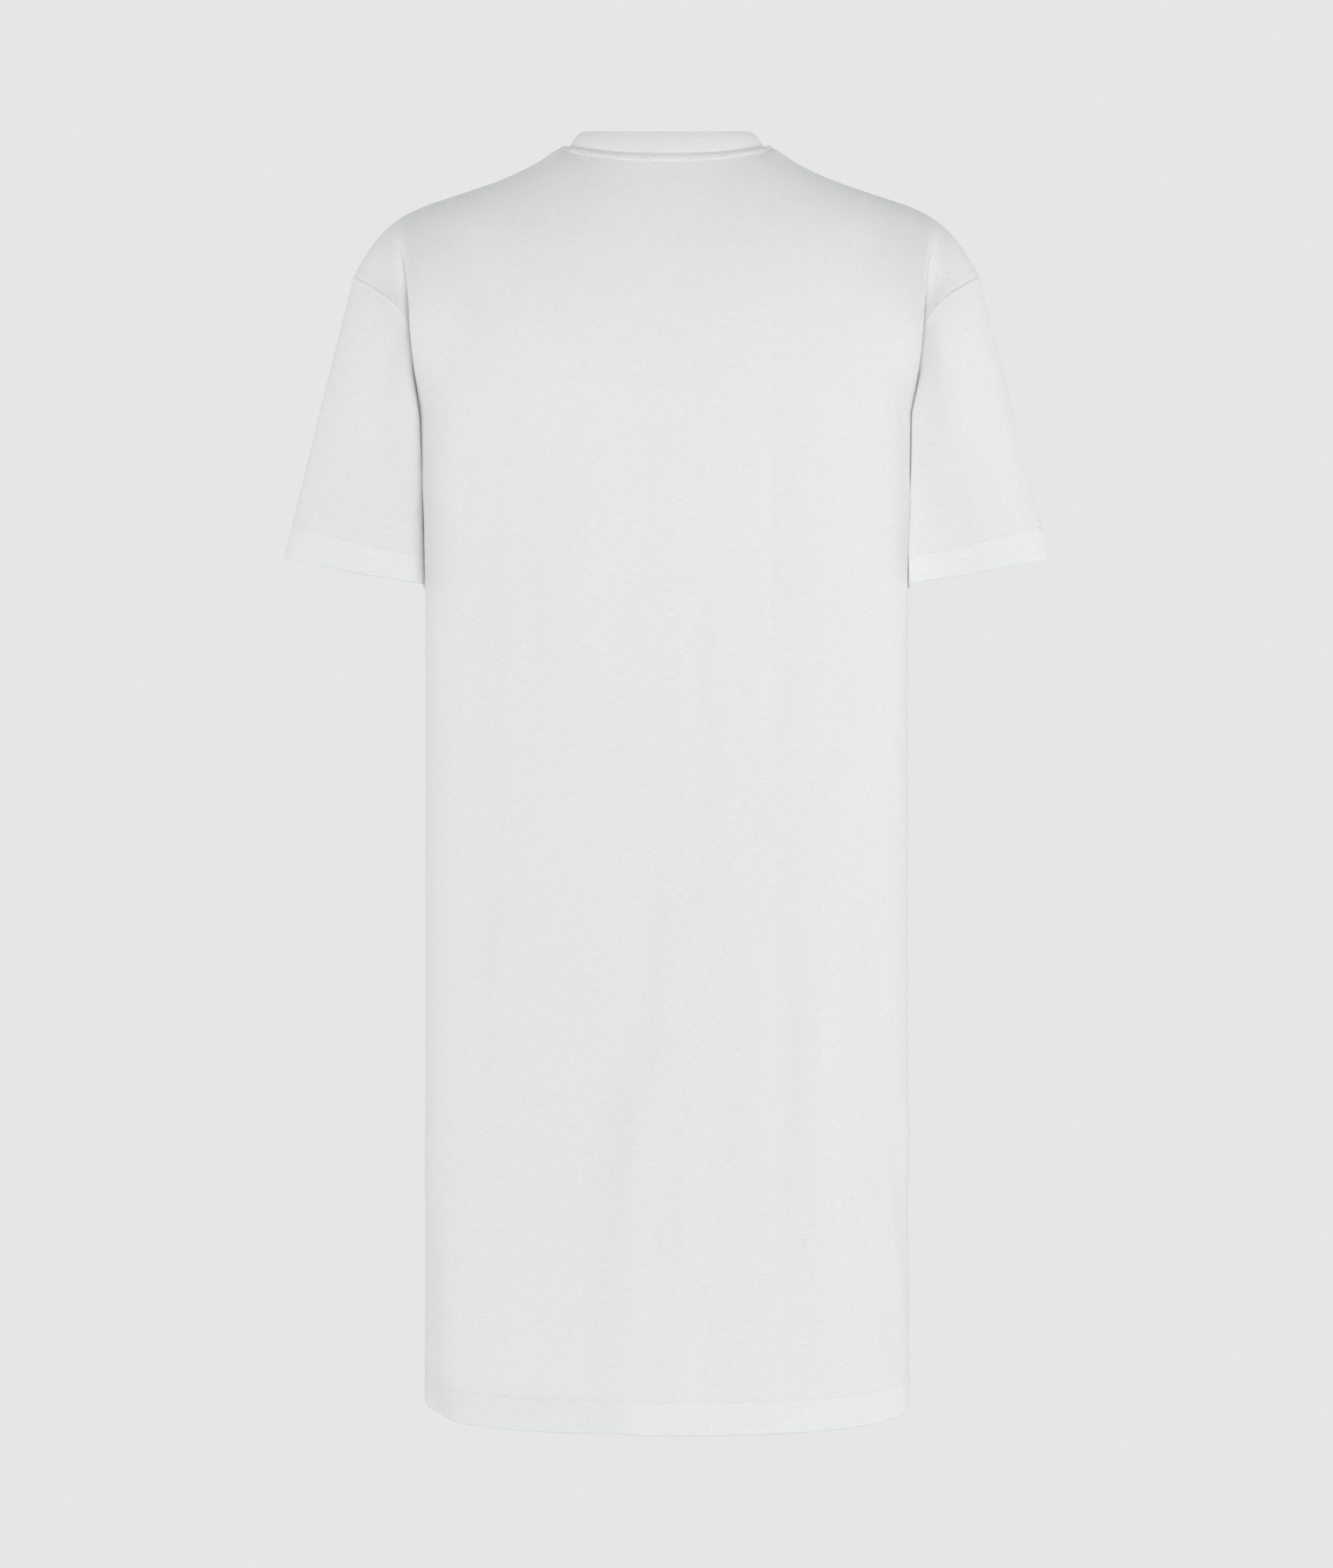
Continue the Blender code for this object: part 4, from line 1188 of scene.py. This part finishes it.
sleeve_outer = {}
for sign, name in ((1, "sleeve_left"), (-1, "sleeve_right")):
    outer, to_edge = sleeve_shape(sign, sleeves[sign], rows, turn, sleeve_length,
                                  sleeve_normals[sign])
    thick = row_thickness(to_edge, SLEEVE_STITCH_LINE + HEM_PAST_STITCHES)
    inner = outer - thick[..., None] * sleeve_normals[sign]
    for grid in (outer, inner):
        grid[0] -= shifts[sign]
    around = closed_round(turn, SLEEVE_AROUND)
    place = np.stack(np.meshgrid(around, rows * sleeve_length), axis=-1)
    # A lighter tone on the doubled cuff, as painted light.
    doubled_cloth_painted_light = SLEEVE_HEM_PAINTED_LIGHT * smooth(
        (SLEEVE_STITCH_LINE + PAINTED_LIGHT_PAST_STITCHES - to_edge) / PAINTED_LIGHT_FADE)
    sleeve_outer[sign] = outer
    pieces[name] = shell(name + "_cloth", outer, inner, place, doubled_cloth_painted_light, white, True)

# The neckband: folded self fabric, with its own joining seam near the left shoulder.

BAND_AROUND = 66.0
JOIN_ANGLE = math.radians(66.0)
BAND_GROOVE = 0.55
# The lines of the joining seam: how far each is from the join, how high it stands, its half width.
JOIN_LINES = ((0.0, -0.55, 0.8), (2.8, -0.35, 0.7), (1.4, 0.15, 0.8))
BAND_WIDTH = 19.0
BAND_PLACE = 400.0

band, band_rows = band_form()
band_normals = wall_normals(band, -1)
band_normals[0] = neck_lean()
band_length = run_down(band)
draw_in = hem_edge(band_length[-1] - band_length, BAND_CLOTH)
angles = neck_angles()
band_along = np.broadcast_to((angles - JOIN_ANGLE) * BAND_AROUND, band_length.shape)
lift = -BAND_GROOVE * hump(band_length, 1.1) - draw_in
for at, height, half_width in JOIN_LINES:
    lift += height * hump(band_along - at, half_width)
lift += pucker(band_along, band_length - 4.0, 71, 0.10, 7.0, CIRCLE * BAND_AROUND)
band_outer = band + lift[..., None] * band_normals
band_inner = band_outer - (BAND_CLOTH - 2.0 * draw_in)[..., None] * band_normals
place = np.stack(np.meshgrid(closed_round(angles, BAND_AROUND),
                             band_rows * BAND_WIDTH + BAND_PLACE), axis=-1)
pieces["neckband"] = shell("neckband_cloth", band_outer, band_inner, place,
                           np.zeros(band_length.shape), white, True)

# The raised strip below the neckband, where the seam's turned-down edges are stitched flat.

FAN_STEPS = np.linspace(0.0, 12.0, 25)
STRIP_ROWS = np.array((0.15, 0.4, 0.8, 1.4, 2.2, 3.2, 4.2, 5.2, 6.0, 6.6, 7.0, 7.3, 7.6, 7.9))
STRIP_STITCHES_AT = 5.2
STRIP_SUNK = 0.6
STRIP_PLACE = 300.0


def strip_point(angle, grow):
    side, psi = neck_place(angle)
    x, y, _ = neck_edge(side, psi, grow)
    z = float(height_at(side, np.array([x]), np.array([y]))[0])
    return math.copysign(x, math.sin(angle)), y, z


fan = np.array([[strip_point(angle, grow) for angle in angles] for grow in FAN_STEPS])
fan_length = run_down(fan)
strip = np.zeros((len(STRIP_ROWS), NECK_STEPS, 3))
for i in range(NECK_STEPS):
    for axis in range(3):
        strip[:, i, axis] = np.interp(STRIP_ROWS, fan_length[:, i], fan[:, i, axis])
strip_normals = wall_normals(strip, 1)
if strip_normals[4, 0, 2] < 0.0:
    strip_normals = -strip_normals
rise = STRIP_HEIGHT * (0.35 * smooth(STRIP_ROWS / 0.8) + 0.65 * ramp(STRIP_ROWS, 1.0, 2.8))
rise = rise * smooth((STRIP_WIDTH + 0.3 - STRIP_ROWS) / 3.6) - 0.25 * (STRIP_ROWS > 7.7)
strip_along = np.broadcast_to(angles * NECK_HALF_WIDTH, strip.shape[:2])
strip_lift = rise[:, None] + pucker(strip_along, STRIP_ROWS[:, None] - 6.4, 83, 0.07, 4.0,
                                    CIRCLE * NECK_HALF_WIDTH)
strip_outer = strip + strip_lift[..., None] * strip_normals
strip_inner = strip - STRIP_SUNK * strip_normals
place = np.stack(np.meshgrid(closed_round(angles, NECK_HALF_WIDTH), STRIP_ROWS + STRIP_PLACE),
                 axis=-1)
# A lighter tone on the neck strip, as painted light.
strip_piece = shell("neck_strip", strip_outer, strip_inner, place,
                    np.full(strip.shape[:2], 0.6), white, True)

# Stitches.

hem_row = K + 1 + int(np.argmin(np.abs(SKIRT_Z - HEM_Z - STITCH_LINE)))
hem_line, hem_normal = [np.concatenate((grids[BACK][hem_row, 1:-1], grids[FRONT][hem_row, -2:0:-1]))
                        for grids in (panel_outer, normals)]
threads = {"stitches_hem": stitches("stitches_hem", hem_line, hem_normal, 2.5, 1.9, 0.32, 3)}
cuff_row = int(np.argmin(np.abs((1.0 - rows) * sleeve_length - SLEEVE_STITCH_LINE)))
for sign, name in ((1, "stitches_sleeve_left"), (-1, "stitches_sleeve_right")):
    threads[name] = stitches(name, sleeve_outer[sign][cuff_row], sleeve_normals[sign][cuff_row],
                             2.3, 1.7, 0.3, 7 + sign)
strip_row = int(np.argmin(np.abs(STRIP_ROWS - STRIP_STITCHES_AT)))
threads["stitches_neck"] = stitches("stitches_neck", strip_outer[strip_row],
                                    strip_normals[strip_row], 2.1, 3.6, 0.34, 9, True)

# Each piece hangs from the root body, and the imported parts of the sewn pieces are hidden.

for name, piece in pieces.items():
    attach(piece, "root")
    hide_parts(name)
for piece in (strip_piece, *threads.values()):
    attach(piece, "root")

# The studio.

PALE = 0.791
FLOOR_Z = -1.40
FLOOR_RADIUS = 1.2


def floor():
    mesh = bpy.data.meshes.new("floor")
    disc = bmesh.new()
    bmesh.ops.create_circle(disc, cap_ends=True, segments=128, radius=FLOOR_RADIUS)
    disc.to_mesh(mesh)
    disc.free()
    mesh.materials.append(new_material("pale_floor", {
        "Base Color": (0.82, 0.82, 0.82, 1.0), "Roughness": 0.9})[0])
    thing = link("floor", mesh)
    thing.location = (0.0, 0.0, FLOOR_Z)


def area_light(name, place, aim, size, power):
    light = bpy.data.lights.new(name, "AREA")
    light.shape = "DISK"
    light.size = size
    light.energy = power
    thing = link(name, light)
    thing.location = place
    thing.rotation_euler = direction(place, aim)
    thing.visible_camera = False


def direction(place, aim):
    return (Vector(aim) - Vector(place)).to_track_quat("-Z", "Y").to_euler()


floor()
AIM = (0.0, 0.0, -0.45)
for name, place, size, power in (
        ("high", (-0.2, 2.2, 1.0), 1.2, 26.0), ("low", (0.0, 2.2, -1.25), 1.0, 15.5),
        ("right_side", (-2.8, 0.6, -0.4), 1.4, 22.5), ("left_side", (2.8, 0.6, -0.4), 1.4, 21.5),
        ("right_rim", (-2.2, -1.2, -0.30), 1.0, 10.0), ("left_rim", (2.2, -1.2, 0.1), 1.0, 10.0),
        ("front_fill", (0.6, -2.9, -0.5), 1.6, 14.0)):
    area_light(name, place, AIM, size, power)


def studio_world():
    """A pale surround that looks even, and lights the cloth less from above and from behind the
    camera."""
    world = bpy.data.worlds.new("studio")
    world.use_nodes = True
    nodes, links = world.node_tree.nodes, world.node_tree.links
    where = nodes.new("ShaderNodeTexCoord")
    split = nodes.new("ShaderNodeSeparateXYZ")
    links.new(where.outputs["Generated"], split.inputs[0])

    def blend(value, low, high, start, end):
        node = nodes.new("ShaderNodeMapRange")
        node.interpolation_type = "SMOOTHSTEP"
        set_values(node, {"From Min": low, "From Max": high, "To Min": start, "To Max": end})
        links.new(value, node.inputs["Value"])
        return node.outputs["Result"]

    def mix(factor, first, second):
        node = nodes.new("ShaderNodeMix")
        node.data_type = "FLOAT"
        for socket, value in zip(("Factor", "A", "B"), (factor, first, second)):
            if isinstance(value, float):
                node.inputs[socket].default_value = value
            else:
                links.new(value, node.inputs[socket])
        return node.outputs["Result"]

    around = blend(split.outputs["Y"], -0.3, 0.3, 0.61, 0.20)
    upper = mix(blend(split.outputs["Z"], 0.35, 0.65, 0.0, 1.0), around, 0.34)
    glow = mix(blend(split.outputs["Z"], -0.65, -0.35, 1.0, 0.0), upper, 0.61)
    seen = nodes.new("ShaderNodeLightPath")
    final = mix(seen.outputs["Is Camera Ray"], glow, PALE)
    links.new(final, nodes["Background"].inputs["Color"])
    bpy.context.scene.world = world


studio_world()
bpy.context.scene.view_settings.view_transform = "Standard"

# The camera looks level. Its frame is measured in pixels, and LEVEL_ROW is the row at its height.
EYE = (0.0, 2.6, -0.4034)
SENSOR_WIDTH = 36.0
FRAME_HEIGHT = 2075.0
FOCAL_LENGTH = 4550.0
LEVEL_ROW = 900.0

camera = link("camera", bpy.data.cameras.new("camera"))
camera.data.sensor_width = SENSOR_WIDTH
camera.data.lens = FOCAL_LENGTH / FRAME_HEIGHT * SENSOR_WIDTH
camera.location = EYE
camera.rotation_euler = direction(EYE, (0.0, 0.0, EYE[2]))
camera.data.shift_y = (LEVEL_ROW - FRAME_HEIGHT / 2.0) / FRAME_HEIGHT
bpy.context.scene.camera = camera
